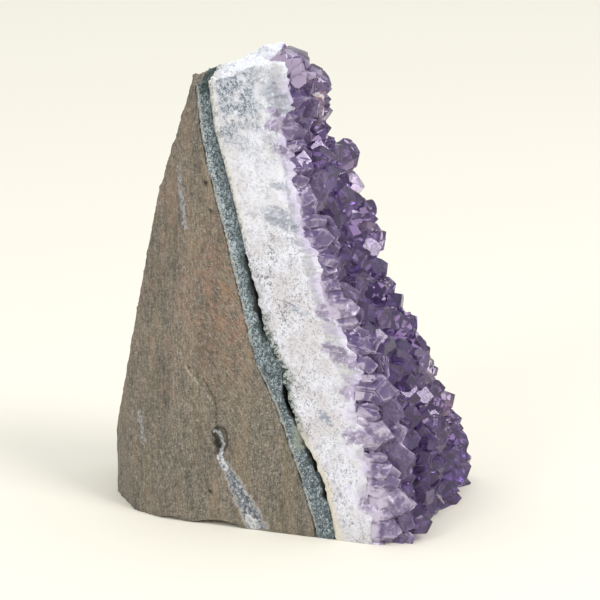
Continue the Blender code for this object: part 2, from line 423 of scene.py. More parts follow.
def rgb(*channels: int) -> tuple:
    """A screen colour, each channel from 0 to 255, as the linear colour that nodes take."""
    shares = [channel / 255 for channel in channels]
    linear = [share / 12.92 if share <= 0.04045 else ((share + 0.055) / 1.055) ** 2.4 for share in shares]
    return (*linear, 1.0)


class Desk:
    """Adds and joins the nodes of one node tree.

    Args:
        tree: the node tree to work on.
    """

    def __init__(self, tree: Tree) -> None:
        """Keeps the tree."""
        self.tree = tree

    def put(self, socket: Socket, value: object) -> None:
        """Links an output to a socket, or sets the socket to a plain value.

        Args:
            socket: the socket.
            value: the output or the value, or None to leave the socket as it is.
        """
        if isinstance(value, Socket):
            self.tree.links.new(value, socket)
        elif value is not None:
            socket.default_value = value

    def feed(self, node: Node, **sockets: object) -> Node:
        """Feeds a node's inputs.

        Args:
            node: the node.
            sockets: its inputs by name, with _ for a space.

        Returns:
            The node.
        """
        for name, value in sockets.items():
            self.put(node.inputs[name.replace("_", " ")], value)
        return node

    def add(self, kind: str, settings: dict | None = None, *values: object, **sockets: object) -> Node:
        """Adds a node.

        Args:
            kind: its type, without the leading ShaderNode.
            settings: its properties.
            values: its first inputs in their order, each a value or an output.
            sockets: its inputs by name, with _ for a space.

        Returns:
            The node.
        """
        node = self.tree.nodes.new("ShaderNode" + kind)
        for name, value in (settings or {}).items():
            setattr(node, name, value)
        for socket, value in zip(node.inputs, values):
            self.put(socket, value)
        return self.feed(node, **sockets)

    def calc(self, operation: str, *values: object, clamp: bool = True) -> Socket:
        """A sum on numbers, kept from 0 to 1 unless clamp is off."""
        return self.add("Math", {"operation": operation, "use_clamp": clamp}, *values).outputs[0]

    def vector(self, operation: str, *values: object, output: object = 0, **sockets: object) -> Socket:
        """A sum on vectors, and one of its outputs."""
        return self.add("VectorMath", {"operation": operation}, *values, **sockets).outputs[output]

    def span(self, value: object, low: float, high: float, floor: float = 0.0, top: float = 1.0) -> Socket:
        """Stretches the range from low to high over the range from floor to top, and stops there."""
        settings = {"interpolation_type": "SMOOTHSTEP"}
        return self.add("MapRange", settings, value, low, high, floor, top).outputs[0]

    def mix(self, share: object, first: object, second: object, kind: str = "RGBA") -> Socket:
        """A colour or a number between two.

        Args:
            share: how much it has of the second.
            first: the first colour or number.
            second: the second one.
            kind: RGBA for colours, FLOAT for numbers.

        Returns:
            The mixture.
        """
        first_input, output = {"RGBA": (6, 2), "FLOAT": (2, 0)}[kind]
        node = self.add("Mix", {"data_type": kind}, share)
        self.put(node.inputs[first_input], first)
        self.put(node.inputs[first_input + 1], second)
        return node.outputs[output]

    def noise_at(self, place: Socket, scale: object, detail: float, rough: float = 0.5) -> Node:
        """Noise at a place, as a node."""
        return self.add("TexNoise", None, Vector=place, Scale=scale, Detail=detail, Roughness=rough)

    def ramp(self, value: object, *stops: tuple) -> Socket:
        """A colour that runs through stops.

        Args:
            value: where it is read, from 0 to 1.
            stops: a position and a colour each.

        Returns:
            The colour.
        """
        node = self.add("ValToRGB", None, Fac=value)
        elements = node.color_ramp.elements
        while len(elements) < len(stops):
            elements.new(0.5)
        for element, (position, colour) in zip(elements, stops):
            element.position = position
            element.color = colour
        return node.outputs[0]


def new_group(name: str, inputs: dict[str, str], outputs: tuple) -> tuple[Tree, Desk, object, object]:
    """An empty node group.

    Args:
        name: its name.
        inputs: the type of each input, by name.
        outputs: the names of its outputs, which are numbers.

    Returns:
        The group, its desk, and the sockets that hold its inputs and outputs.
    """
    group = bpy.data.node_groups.new(name, "ShaderNodeTree")
    for direction, sockets in (("INPUT", inputs), ("OUTPUT", dict.fromkeys(outputs, "Float"))):
        for socket, kind in sockets.items():
            group.interface.new_socket(name=socket, in_out=direction, socket_type=f"NodeSocket{kind}")
    start, end = group.nodes.new("NodeGroupInput"), group.nodes.new("NodeGroupOutput")
    return group, Desk(group), start.outputs, end.inputs


class SharedEffects:
    """Node groups that more than one finish uses."""

    def __init__(self) -> None:
        """Makes the groups."""
        self.grain = self.build_grain()
        self.line = self.build_line()

    @staticmethod
    def build_line() -> Tree:
        """Nearness to a straight run on the sawn side: 1 on it, 0 at its reach and past that.

        Returns:
            The group.
        """
        kinds = {"Vector": "Vector", "Start": "Vector", "Run": "Vector", "Reach": "Float"}
        group, desk, given, out = new_group("line_nearness", kinds, ("Near",))
        run = given["Run"]
        flat = desk.vector("MULTIPLY", desk.vector("SUBTRACT", given["Vector"], given["Start"]), (0, 1, 1))
        dots = [desk.vector("DOT_PRODUCT", one, run, output="Value") for one in (flat, run)]
        along = desk.vector("SCALE", run, Scale=desk.calc("DIVIDE", *dots))
        gap = desk.vector("LENGTH", desk.vector("SUBTRACT", flat, along), output="Value")
        desk.put(out["Near"], desk.calc("SUBTRACT", 1.0, desk.calc("DIVIDE", gap, given["Reach"])))
        return group

    @staticmethod
    def build_grain() -> Tree:
        """Fine mineral grains: a coarser and a finer noise, sharpened to grains and specks.

        Returns:
            The group.
        """
        kinds = {"Vector": "Vector", "Scale": "Float", "Contrast": "Float"}
        group, desk, given, out = new_group("mineral_grain", kinds, ("Grain", "Specks"))
        coarse_scale = desk.calc("MULTIPLY", given["Scale"], 0.42, clamp=False)
        fine = desk.noise_at(given["Vector"], given["Scale"], 2.0).outputs["Fac"]
        coarse = desk.noise_at(given["Vector"], coarse_scale, 3.0, 0.7).outputs["Fac"]
        centred = desk.calc("SUBTRACT", desk.mix(0.5, fine, coarse, "FLOAT"), 0.5, clamp=False)
        desk.put(out["Grain"], desk.calc("MULTIPLY_ADD", centred, given["Contrast"], 0.5))
        cells = desk.add("TexVoronoi", None, Vector=given["Vector"], Scale=coarse_scale)
        desk.put(out["Specks"], desk.span(cells.outputs["Distance"], 0.32, 0.16))
        return group


class Palette(Desk):
    """The desk of one material, which lays colours on each other.

    Args:
        name: the material's name.
        effects: the shared node groups.
    """

    def __init__(self, name: str, effects: SharedEffects | None = None) -> None:
        """Makes the material."""
        self.material = bpy.data.materials.new(name)
        self.material.use_nodes = True
        super().__init__(self.material.node_tree)
        self.effects = effects
        self.place = self.add("TexCoord").outputs["Object"]
        self.base = None

    def group(self, group: Tree, **sockets: object) -> list[Socket]:
        """Adds a node group with its own values, and returns its outputs."""
        return list(self.feed(self.add("Group", {"node_tree": group}), **sockets).outputs)

    def grains(self, size: float, contrast: float) -> list[Socket]:
        """Mineral grains of a size, and specks between them."""
        return self.group(self.effects.grain, Vector=self.place, Scale=1 / (size * MM), Contrast=contrast)

    def noise(self, size: float, detail: float = 2.0, rough: float = 0.5) -> Socket:
        """Noise whose features are about a size apart."""
        return self.noise_at(self.place, 1 / (size * MM), detail, rough).outputs["Fac"]

    def streaks(self, turn: float, sizes: tuple, detail: float, rough: float = 0.5) -> Socket:
        """Noise with a size for each axis, turned about X by an angle in radians.

        Args:
            turn: the angle.
            sizes: distance between features along each axis.
            detail: how many finer layers it has.
            rough: how strong they are.

        Returns:
            The noise.
        """
        turned = self.add("Mapping", None, Vector=self.place, Rotation=(turn, 0, 0))
        scale = tuple(1 / (size * MM) for size in sizes)
        stretched = self.add("Mapping", None, Vector=turned.outputs[0], Scale=scale)
        return self.noise_at(stretched.outputs[0], 1.0, detail, rough).outputs["Fac"]

    def warped(self, size: float, reach: float) -> Socket:
        """Coordinates that wander.

        Args:
            size: distance between swells.
            reach: how far they move a point.

        Returns:
            The coordinates.
        """
        cloud = self.noise_at(self.place, 1 / (size * MM), 3.0).outputs["Color"]
        centred = self.vector("SUBTRACT", cloud, (0.5, 0.5, 0.5))
        return self.vector("MULTIPLY_ADD", centred, (0, 4 * reach * MM, 4 * reach * MM), self.place)

    def bump(self, height: object, depth: float, normal: object = None) -> Socket:
        """A normal that follows a height from 0 to 1, which stands for a depth."""
        node = self.add("Bump", None, Height=height, Distance=depth * MM, Strength=1.0, Normal=normal)
        return node.outputs[0]

    def near(self, place: Socket, *lines: tuple) -> Socket:
        """Nearness to the closest of some lines on the sawn side, from 0 to 1.

        Args:
            place: the coordinates.
            lines: (Y, height, reach) of each one's points. The nearness is 0 at the reach.

        Returns:
            The nearness.
        """
        best = None
        runs = [run for line in lines for run in zip(line, line[1:])]
        for (y, z, reach), (next_y, next_z, next_reach) in runs:
            run = (0, (next_y - y) * MM, (next_z - z) * MM)
            middle_reach = (reach + next_reach) / 2 * MM
            start = (0, y * MM, z * MM)
            found = self.group(self.effects.line, Vector=place, Start=start, Run=run, Reach=middle_reach)[0]
            best = found if best is None else self.calc("MAXIMUM", best, found)
        return best

    def mask(self, name: str) -> Socket:
        """A number that was written on the vertices."""
        return self.add("Attribute", {"attribute_name": name}).outputs["Fac"]

    def product(self, *shares: object) -> object:
        """The product of shares.

        Args:
            shares: each a number, an output or the name of a mask.

        Returns:
            The product.
        """
        first, *others = [self.mask(share) if isinstance(share, str) else share for share in shares]
        for other in others:
            first = self.calc("MULTIPLY", first, other)
        return first

    def lay(self, colour: object, *shares: object) -> None:
        """Lays a colour over the rest, by the product of its shares."""
        self.base = self.mix(self.product(*shares), self.base, colour)

    def stain(
        self, colour: object, wave: Socket, low: float, high: float, top: float = 1.0, *shares: object
    ) -> None:
        """Lays a colour by its shares where a wave runs from low to high, up to a top strength."""
        self.lay(colour, self.span(wave, low, high, 0.0, top), *shares)

    def fill(self, roughness: object, normal: object = None, **values: object) -> Material:
        """Feeds the shader with the colours that were laid and with other values.

        Args:
            roughness: the surface's roughness.
            normal: its normal.
            values: other inputs of the shader, with _ for a space.

        Returns:
            The material.
        """
        shader = self.tree.nodes["Principled BSDF"]
        self.feed(shader, Base_Color=self.base, Roughness=roughness, Normal=normal, **values)
        return self.material


@dataclass(frozen=True)
class Finish:
    """What all finishes share: a name, and a material that their paint method lays."""

    name: str = "finish"

    def build(self, effects: SharedEffects) -> Material:
        """Makes the material with the shared node groups."""
        return self.paint(Palette(self.name, effects))


@dataclass(frozen=True)
class BasaltFinish(Finish):
    """Sawn and broken lava rock: fine grains, saw scratches, a rusty glow, pale streaks, a mineral vein, and
    painted shade in its pits, bubble and crack.

    Attributes:
        vein: and the lines after it: (Y, height, reach) of the points of a line on the sawn side.
    """

    name: str = "basalt"
    dark: tuple = rgb(70, 67, 61)
    middle: tuple = rgb(120, 113, 101)
    pale: tuple = rgb(184, 176, 160)
    rusty: tuple = rgb(176, 118, 86)
    ochre: tuple = rgb(150, 132, 102)
    warm: tuple = rgb(156, 134, 114)
    pink: tuple = rgb(172, 140, 124)
    vein_dark: tuple = rgb(66, 70, 80)
    vein_middle: tuple = rgb(122, 128, 140)
    vein_pale: tuple = rgb(214, 215, 216)
    vein_edge: tuple = rgb(172, 170, 163)
    streak: tuple = rgb(168, 170, 174)
    # Painted shade: the dark laid in the pits, the bubble, the shade line and the crack.
    hollow: tuple = rgb(46, 42, 38)
    grain_size: float = 0.26
    vein: tuple = (
        (4.2, 12.8, 0.8), (2.7, 10.3, 1.5), (1.6, 8.6, 1.9),
        (0.0, 5.9, 2.2), (-1.5, 3.4, 2.5), (-4.0, -1.0, 2.9),
    )
    vein_foot: tuple = ((-1.4, 2.2, 0.9), (-3.2, 0.2, 1.7))
    core: tuple = (
        (6.4, 19.2, 0.6), (5.8, 18.8, 0.9), (5.4, 17.6, 0.95), (4.9, 16.5, 0.8),
        (5.1, 15.4, 0.85), (5.3, 14.4, 1.0), (4.8, 13.2, 1.0), (4.1, 12.0, 1.1),
    )
    bubble: tuple = ((5.4, 18.7, 2.1), (5.2, 17.0, 1.9))
    shade: tuple = ((6.2, 17.0, 0.7), (6.0, 14.8, 0.7))
    crack: tuple = (
        (9.3, 29.9, 0.25), (7.7, 27.6, 0.35), (6.8, 26.1, 0.35),
        (6.4, 24.1, 0.5), (6.3, 22.0, 0.35), (6.1, 20.2, 0.5),
    )
    scratch: tuple = ((13.2, 31.7, 0.3), (11.4, 29.5, 0.45), (9.2, 27.7, 0.35), (7.7, 25.6, 0.25))
    streaks: tuple = (
        ((16.0, 71.4, 0.5), (15.2, 67.6, 1.1), (14.7, 64.4, 1.0), (13.9, 60.0, 0.5)),
        ((24.2, 20.6, 0.5), (23.6, 17.4, 1.1), (22.9, 14.2, 0.6)),
    )

    def paint(self, desk: Palette) -> Material:
        """Lays the grains, the stains, the scratches of the saw, what lies on the sawn side, and painted shade
        in the pits.

        Args:
            desk: the material's desk.

        Returns:
            The material.
        """
        grain, specks = desk.grains(self.grain_size, 3.2)
        tones = (0.0, self.dark), (0.46, self.middle), (0.62, self.middle), (1.0, self.pale)
        desk.base = desk.ramp(grain, *tones)
        drawn = desk.streaks(0.06, (3, 1.3, 6), 4, 0.65)
        blotch = desk.noise(1.1, 4, 0.7)
        upright = desk.span(desk.streaks(0.09, (2, 0.26, 1.8), 3, 0.6), 0.36, 0.64)
        slanted = desk.span(desk.streaks(-0.86, (2, 2.2, 0.28), 3, 0.6), 0.36, 0.64)
        saw_marks = desk.mix(desk.mask("slanted"), upright, slanted, "FLOAT")
        desk.stain(self.rusty, desk.noise(2.2, 4), 0.35, 0.65, 0.3, "rusty")
        desk.stain(self.rusty, desk.streaks(-0.86, (2, 1.7, 0.42), 3, 0.6), 0.52, 0.66, 0.62, "rusty")
        desk.stain(self.ochre, desk.streaks(0.06, (9, 3.4, 26), 3), 0.46, 0.78, 0.55)
        desk.stain(self.dark, desk.streaks(0.1, (12, 5, 18), 4, 0.6), 0.56, 0.3, 0.4)
        desk.stain(self.warm, drawn, 0.5, 0.7, 0.42)
        desk.stain(self.dark, drawn, 0.48, 0.3, 0.4)
        desk.stain(self.pink, desk.streaks(0.1, (3, 1.1, 8), 4, 0.6), 0.46, 0.66, 1.0, "blush")
        desk.stain(self.pale, blotch, 0.52, 0.72, 0.36)
        desk.stain(self.dark, blotch, 0.48, 0.3, 0.46)
        desk.stain(self.pale, saw_marks, 0.55, 1, 0.2, "sawn")
        desk.stain(self.dark, saw_marks, 0.45, 0, 0.22, "sawn")
        desk.lay(self.pale, specks, 0.3)
        self.paint_lines(desk)
        # Painted shade in the pits of the sawn side.
        desk.lay(self.hollow, "hollow")
        normal = desk.bump(saw_marks, 0.025, desk.bump(grain, 0.10))
        return desk.fill(desk.span(grain, 0, 1, 0.92, 0.7), normal)

    def paint_lines(self, desk: Palette) -> None:
        """Lays the vein, the streaks, the scratch, the crack and the bubble of the sawn side, with painted shade
        in the bubble and along the crack.

        Args:
            desk: the material's desk.
        """
        ragged, wavy = desk.warped(1.0, 0.65), desk.warped(0.8, 0.2)
        fleck = desk.noise(0.6, 5, 0.75)
        crumbs = desk.span(fleck, 0.36, 0.52, 0.35, 0.9)
        frayed = desk.span(fleck, 0.42, 0.56, 0.1, 1)
        broken_up = desk.span(frayed, 0.1, 0.8, 0.5, 1)
        middle, pale = self.vein_middle, self.vein_pale
        vein_tone = desk.ramp(fleck, (0.42, self.vein_dark), (0.49, middle), (0.54, middle), (0.62, pale))
        filling = desk.mix(desk.span(fleck, 0.42, 0.54), middle, pale)
        wide = [self.vein], [self.vein_foot], self.streaks
        vein, foot, streaks = (desk.product("sawn", desk.near(ragged, *lines)) for lines in wide)
        fine = self.scratch, self.bubble, self.shade, self.crack, self.core
        scratch, bubble, shade, crack, core = (desk.product("sawn", desk.near(wavy, line)) for line in fine)
        desk.stain(self.vein_edge, vein, 0.06, 0.26, 1.0, crumbs)
        desk.stain(vein_tone, vein, 0.3, 0.5, 0.88)
        desk.stain(pale, foot, 0.1, 0.5, 1.0, crumbs)
        desk.stain(self.streak, streaks, 0.05, 0.6, 0.9, frayed)
        desk.stain(self.pale, scratch, 0.1, 0.6, 0.7, frayed)
        # Painted shade: a dark ring in the bubble, and dark along the shade line and the crack.
        desk.stain(self.hollow, bubble, 0.06, 0.2, 1.0, desk.span(bubble, 0.5, 0.3), 0.8)
        desk.stain(self.hollow, bubble, 0.3, 0.5, 0.3)
        desk.stain(self.hollow, shade, 0.1, 0.5, 0.75, broken_up)
        desk.stain(self.hollow, crack, 0.1, 0.5, 0.6, broken_up)
        desk.stain(filling, core, 0.2, 0.5)


@dataclass(frozen=True)
class RindFinish(Finish):
    """The green rind: blue-grey grains with pale specks, dark green towards the crack and near the top, and
    painted shade in the open crack.
    """

    name: str = "green_rind"
    dark: tuple = rgb(44, 54, 58)
    middle: tuple = rgb(99, 112, 117)
    pale: tuple = rgb(188, 200, 207)
    green: tuple = rgb(18, 48, 40)
    lump: tuple = rgb(150, 158, 140)
    edge: tuple = rgb(186, 184, 172)
    # Painted shade: near black where the crack is open.
    crevice: tuple = (0.006, 0.008, 0.008, 1)
    grain_size: float = 0.3

    def paint(self, desk: Palette) -> Material:
        """Lays the grains, the green, the pale inner edge, the lump and painted shade in the open crack.

        Args:
            desk: the material's desk.

        Returns:
            The material.
        """
        grain, _ = desk.grains(self.grain_size, 3.8)
        desk.base = desk.ramp(grain, (0.0, self.dark), (0.5, self.middle), (1.0, self.pale))
        patches = desk.noise(3.2, 4, 0.6)
        near_crack = desk.product("outer", desk.span(patches, 0.3, 0.56), 0.85)
        deep = desk.mix(desk.span(grain, 0.25, 0.7), self.dark, self.middle)
        green = desk.mix(desk.span(grain, 0.5, 1.2), self.green, self.middle)
        desk.lay(self.pale, "bright", desk.span(grain, 0.38, 0.68, 0.05, 0.75))
        desk.lay(deep, "deep", desk.span(patches, 0.34, 0.56, 0.1, 0.48))
        desk.lay(green, desk.calc("MAXIMUM", near_crack, desk.mask("green")))
        desk.stain(self.edge, patches, 0.3, 0.5, 1.0, "inner")
        desk.lay(self.lump, "lump", 0.7)
        # Painted shade in the open crack.
        desk.lay(self.crevice, "crevice")
        return desk.fill(0.62, desk.bump(grain, 0.14))


@dataclass(frozen=True)
class QuartzFinish(Finish):
    """White quartz: sugary, with grey specks, glassy grey patches near the top and a cream margin.

    Attributes:
        grey_zones: lines on the sawn side along which it is grey, each of (Y, height, reach).
        violet_zones: the same for violet.
    """

    name: str = "white_quartz"
    white: tuple = rgb(219, 216, 220)
    snow: tuple = rgb(233, 234, 243)
    bright: tuple = rgb(244, 247, 254)
    speck: tuple = rgb(104, 102, 110)
    dull: tuple = rgb(186, 180, 190)
    glassy: tuple = rgb(166, 176, 190)
    glassy_dark: tuple = rgb(92, 108, 122)
    lilac: tuple = rgb(204, 194, 222)
    pale_lilac: tuple = rgb(232, 226, 248)
    seam: tuple = rgb(84, 102, 104)
    mossy: tuple = rgb(150, 158, 146)
    under: tuple = rgb(112, 90, 148)
    cream: tuple = rgb(222, 214, 192)
    moss: tuple = rgb(44, 64, 58)
    grey_dark: tuple = rgb(138, 142, 158)
    grey: tuple = rgb(190, 194, 208)
    violet_dark: tuple = rgb(120, 102, 140)
    violet: tuple = rgb(184, 168, 202)
    grain_size: float = 0.34
    grey_zones: tuple = (
        ((-3.0, 88.4, 2.2), (-6.0, 86.2, 3.0), (-7.4, 83.6, 2.4)),
        ((-4.6, 69.6, 0.8), (-7.0, 69.2, 1.0)),
        ((-4.0, 63.8, 2.2), (-8.2, 62.2, 3.0)),
        ((-8.2, 58.9, 0.8), (-9.8, 58.7, 0.9)),
        ((-9.6, 45.6, 0.9), (-12.0, 45.0, 1.2)),
        ((-16.0, 25.2, 0.8), (-17.4, 23.8, 1.0)),
    )
    violet_zones: tuple = (
        ((-4.0, 84.6, 1.1), (-5.4, 83.0, 1.5)),
        ((-3.4, 81.2, 1.3), (-6.6, 80.6, 1.9)),
        ((-5.4, 77.0, 1.1), (-8.2, 75.6, 1.7)),
        ((-15.6, 45.6, 1.7), (-18.8, 44.6, 2.6)),
        ((-16.4, 38.4, 1.2), (-19.0, 37.3, 2.4), (-22.8, 36.0, 3.0)),
        ((-21.9, 30.4, 2.2), (-26.0, 30.0, 4.2)),
        ((-22.6, 21.4, 1.8), (-26.4, 20.8, 3.6)),
        ((-26.4, 8.0, 1.8), (-30.0, 7.6, 3.8)),
    )

    def paint(self, desk: Palette) -> Material:
        """Lays the sugar, the specks, the glassy top, the lilac front, the zones and the margin.

        Args:
            desk: the material's desk.

        Returns:
            The material.
        """
        grain, _ = desk.grains(self.grain_size, 3.4)
        crumbly = desk.noise(0.7, 4, 0.7)
        desk.base = desk.mix(desk.span(desk.noise(5, 3), 0.4, 0.65), self.white, self.snow)
        desk.lay(self.bright, "snowy")
        desk.stain(self.dull, desk.noise(2.4, 4, 0.6), 0.54, 0.68, 0.7, "specked")
        patch = desk.span(desk.noise(2.6, 4, 0.65), 0.42, 0.64)
        specks = desk.product(desk.span(grain, 0.5, 0.16), desk.span(patch, 0, 1, 0.6, 1))
        spots = desk.product(desk.span(crumbly, 0.47, 0.37), desk.span(patch, 0, 1, 0.3, 0.9))
        desk.lay(self.speck, desk.calc("MAXIMUM", specks, spots), "specked", 0.88)
        crumbs = desk.span(desk.noise(0.6, 5, 0.78), 0.52, 0.44)
        crumbs = desk.calc("MAXIMUM", crumbs, desk.span(grain, 0.5, 0.2, 0, 0.8))
        glassy = desk.product("glassy", desk.span(desk.noise(3.2, 5, 0.7), 0.38, 0.58))
        desk.lay(self.glassy, glassy, 0.5)
        desk.lay(self.glassy_dark, glassy, crumbs)
        fibres = desk.streaks(0.2, (1.2, 3.0, 0.55), 4, 0.6)
        woven = desk.calc("MULTIPLY_ADD", fibres, 1.5, desk.mask("front"), clamp=False)
        desk.lay(self.pale_lilac, "front", 0.65)
        desk.stain(self.lilac, woven, 0.9, 1.8, 0.8)
        self.paint_zones(desk)
        desk.lay(self.under, "under")
        desk.lay(self.cream, "cream", 0.8)
        seam = desk.calc("MULTIPLY_ADD", crumbly, 1.6, desk.mask("seam"), clamp=False)
        desk.stain(self.seam, seam, 1.6, 1.9, 0.8)
        desk.lay(self.mossy, "moss", 0.6)
        desk.stain(self.moss, crumbly, 0.46, 0.54, 1.0, "moss")
        rough = desk.span(grain, 0, 1, 0.6, 0.32)
        return desk.fill(rough, desk.bump(grain, 0.05), Subsurface_Weight=0.3, **QUARTZ_DEPTH)

    def paint_zones(self, desk: Palette) -> None:
        """Lays the grey and the violet zones of the sawn side, with painted glints in them.

        Args:
            desk: the material's desk.
        """
        ragged = desk.warped(2.0, 0.9)
        clots = desk.span(desk.streaks(0.3, (1.6, 2.6, 1.0), 4, 0.6), 0.4, 0.6)
        # Painted glints: white spots in the grey and violet zones.
        painted_glints = desk.span(desk.noise(0.8, 4, 0.7), 0.53, 0.64, 0, 0.75)
        grey = self.grey_zones, self.grey_dark, self.grey
        violet = self.violet_zones, self.violet_dark, self.violet
        for zones, dark, light in (grey, violet):
            tone = desk.mix(painted_glints, desk.mix(clots, dark, light), self.bright)
            desk.stain(tone, desk.near(ragged, *zones), 0.1, 0.55, 0.8, "sawn")


@dataclass(frozen=True)
class TanBitsFinish(Finish):
    """Broken bits of quartz, pale and stained tan."""

    name: str = "tan_bits"
    white: tuple = rgb(226, 218, 226)
    stain: tuple = rgb(196, 168, 130)
    grain_size: float = 0.4

    def paint(self, desk: Palette) -> Material:
        """Lays the stain.

        Args:
            desk: the material's desk.

        Returns:
            The material.
        """
        desk.base = self.white
        desk.stain(self.stain, desk.noise(2.2, 3), 0.42, 0.6, 0.6)
        grain, _ = desk.grains(self.grain_size, 3.0)
        return desk.fill(0.35, desk.bump(grain, 0.1), Subsurface_Weight=0.4, **QUARTZ_DEPTH)


@dataclass(frozen=True)
class AmethystFinish(Finish):
    """Violet crystal, tinted by what light loses on its way through. Rust lies on a few tips, and a veiled one
    has painted highlights on its edges.

    Attributes:
        veiled: how much of it is clouded, from 0 for clear crystal.
        ripple: how deep the faces' ripples are.
    """

    name: str = "amethyst"
    clear: tuple = (0.79, 0.67, 0.92, 1)
    root: tuple = (0.95, 0.94, 0.97, 1)
    deep: tuple = (0.13, 0.08, 0.24, 1)
    tint: tuple = (0.88, 0.80, 1.0, 1)
    rust: tuple = (0.30, 0.14, 0.04, 1)
    absorbs: tuple = (0.50, 0.38, 0.66, 1)
    density: float = 168.0
    transmission: float = 0.94
    roughness: float = 0.06
    ripple: float = 0.004
    veiled: float = 0.0

    def paint(self, desk: Palette) -> Material:
        """Lays the pale roots or the veils with painted highlights on the edges, and sets how light goes
        through.

        Args:
            desk: the material's desk.

        Returns:
            The material.
        """
        desk.base = self.clear
        if self.veiled:
            fibres = desk.streaks(0.1, (1.0, 2.4, 0.6), 4, 0.65)
            clots = desk.noise(1.6, 4, 0.6)
            woven = desk.calc("ADD", desk.product(fibres, 0.7), clots)
            desk.stain(self.deep, desk.noise(2.4, 3), 0.56, 0.34, self.veiled)
            desk.lay(self.root, "pale", desk.span(clots, 0.34, 0.66, 0.15, 0.82))
            desk.stain(self.root, desk.calc("ADD", woven, desk.mask("milky"), clamp=False), 1.05, 1.75)
            # Painted highlight: pale along the crystals' outward edges.
            desk.lay(self.root, "edge", desk.span(clots, 0.4, 0.56, 0.1, 0.7))
        else:
            desk.lay(self.root, "milky")
        desk.lay(self.rust, "rust")
        veils = desk.span(desk.noise(1.6, 4, 0.6), 0.55, 0.8, 0, 0.22)
        frost = desk.calc("ADD", desk.product("frosted", 0.4), self.roughness)
        loss = desk.add("VolumeAbsorption", None, Color=self.absorbs, Density=self.density)
        desk.put(desk.tree.nodes["Material Output"].inputs["Volume"], loss.outputs[0])
        return desk.fill(
            desk.calc("ADD", frost, desk.product(veils, 0.9)),
            desk.bump(desk.noise(1.8, 2), self.ripple),
            IOR=QUARTZ_IOR,
            Specular_Tint=self.tint,
            Transmission_Weight=self.transmission,
        )


# ---------------------------------------------------------------- crystals


@dataclass(frozen=True)
class Crystal:
    """One amethyst point: a six-sided prism closed by three large and three small faces, its radius 1.

    Attributes:
        large: how far the large faces are moved in, as a share of the radius.
        small: how far the small faces are moved in. Less than 0 is outward.
    """

    large: tuple
    small: tuple
    face_angle: float = math.radians(51.8)
    first_face: float = math.radians(30)
    root: float = 2.2
    tip: float = 2.4
    taper: float = 0.85
    edge: float = 0.03

    def face_reach(self, inset: float) -> float:
        """How far a face of the tip lies from the middle of the shoulder."""
        return math.cos(self.first_face) * math.sin(self.face_angle) - inset

    def model(self, name: str) -> Piece:
        """Models the crystal along +Z, with its shoulder at the origin and a radius of 1.

        Args:
            name: the object's name.

        Returns:
            The object.
        """
        depth = self.root + self.tip
        bpy.ops.object.select_all(action="DESELECT")
        bpy.ops.mesh.primitive_cone_add(
            vertices=6, radius1=self.taper, radius2=1, depth=depth, location=(0, 0, depth / 2 - self.root)
        )
        obj = bpy.context.object
        obj.name = name
        bpy.ops.object.transform_apply(location=True, rotation=True, scale=True)
        with editing(obj):
            for face in range(6):
                inset = (self.small if face % 2 else self.large)[face // 2]
                side = Matrix.Rotation(math.radians(30 + 60 * face), 3, "Z")
                normal = side @ Matrix.Rotation(self.face_angle, 3, "Y") @ Vector((0, 0, 1))
                bpy.ops.mesh.select_all(action="SELECT")
                bpy.ops.mesh.bisect(
                    plane_co=normal * self.face_reach(inset), plane_no=normal,
                    use_fill=True, clear_outer=True, threshold=1e-5,
                )
            bpy.ops.mesh.select_all(action="SELECT")
            bpy.ops.mesh.normals_make_consistent(inside=False)
        apply_modifier(obj, "BEVEL", width=self.edge, segments=1, limit_method="ANGLE")
        return obj


def standing(place: Vector, axis: Vector, size: float, *turns: tuple[float, str]) -> Matrix:
    """The place, direction and size of a crystal.

    Args:
        place: where its shoulder is.
        axis: where it points to.
        size: its radius.
        turns: angles by which it is turned first, each with the axis of the turn.

    Returns:
        The matrix that puts a crystal of radius 1 there.
    """
    turn = axis.to_track_quat("Z", "X").to_matrix().to_4x4()
    for angle, about in turns:
        turn = turn @ Matrix.Rotation(angle, 4, about)
    return Matrix.Translation(place) @ turn @ Matrix.Scale(size, 4)


def scatter(rolls: random.Random, reach: float) -> Vector:
    """A random direction whose three parts are each within a reach of 0."""
    return Vector([rolls.uniform(-reach, reach) for _ in range(3)])


def remove(obj: Piece) -> None:
    """Removes an object."""
    bpy.data.objects.remove(obj, do_unlink=True)


def new_shelf(name: str) -> Shelf:
    """A collection for objects that are joined later.

    Args:
        name: its name.

    Returns:
        The collection.
    """
    shelf = bpy.data.collections.new(name)
    bpy.context.scene.collection.children.link(shelf)
    return shelf


def to_shelf(obj: Piece, shelf: Shelf, place: Matrix) -> None:
    """Puts a new object in its place, and on a shelf.

    Args:
        obj: the object.
        shelf: the shelf.
        place: where the object goes.
    """
    obj.data.transform(place)
    bpy.context.scene.collection.objects.unlink(obj)
    shelf.objects.link(obj)


class CrystalStore:
    """Models a few crystals once and copies them, each copy with its own mesh.

    Args:
        edge: how wide their edges are broken, as a share of the radius.
        kinds: how many different crystals are modelled.
        seed: sets the crystals' faces.
    """

    def __init__(self, edge: float, kinds: int = 8, seed: int = 5) -> None:
        """Models the crystals that are copied."""
        rolls = random.Random(seed)
        self.masters = []
        for number in range(kinds):
            large = tuple(rolls.uniform(0.0, 0.22) for _ in range(3))
            small = tuple(rolls.uniform(-0.26, -0.06) for _ in range(3))
            self.masters.append(Crystal(large, small, edge=edge).model(f"crystal_{number}"))

    def copy(self, kind: int, place: Matrix, shelf: Shelf) -> None:
        """Puts a copy of one crystal in its place, and on a shelf.

        Args:
            kind: which crystal.
            place: where the copy goes.
            shelf: the shelf.
        """
        mesh = self.masters[kind % len(self.masters)].data.copy()
        mesh.transform(place)
        shelf.objects.link(bpy.data.objects.new(f"crystal_copy_{len(shelf.objects)}", mesh))

    def clear(self) -> None:
        """Removes the crystals that were copied."""
        for obj in self.masters:
            remove(obj)


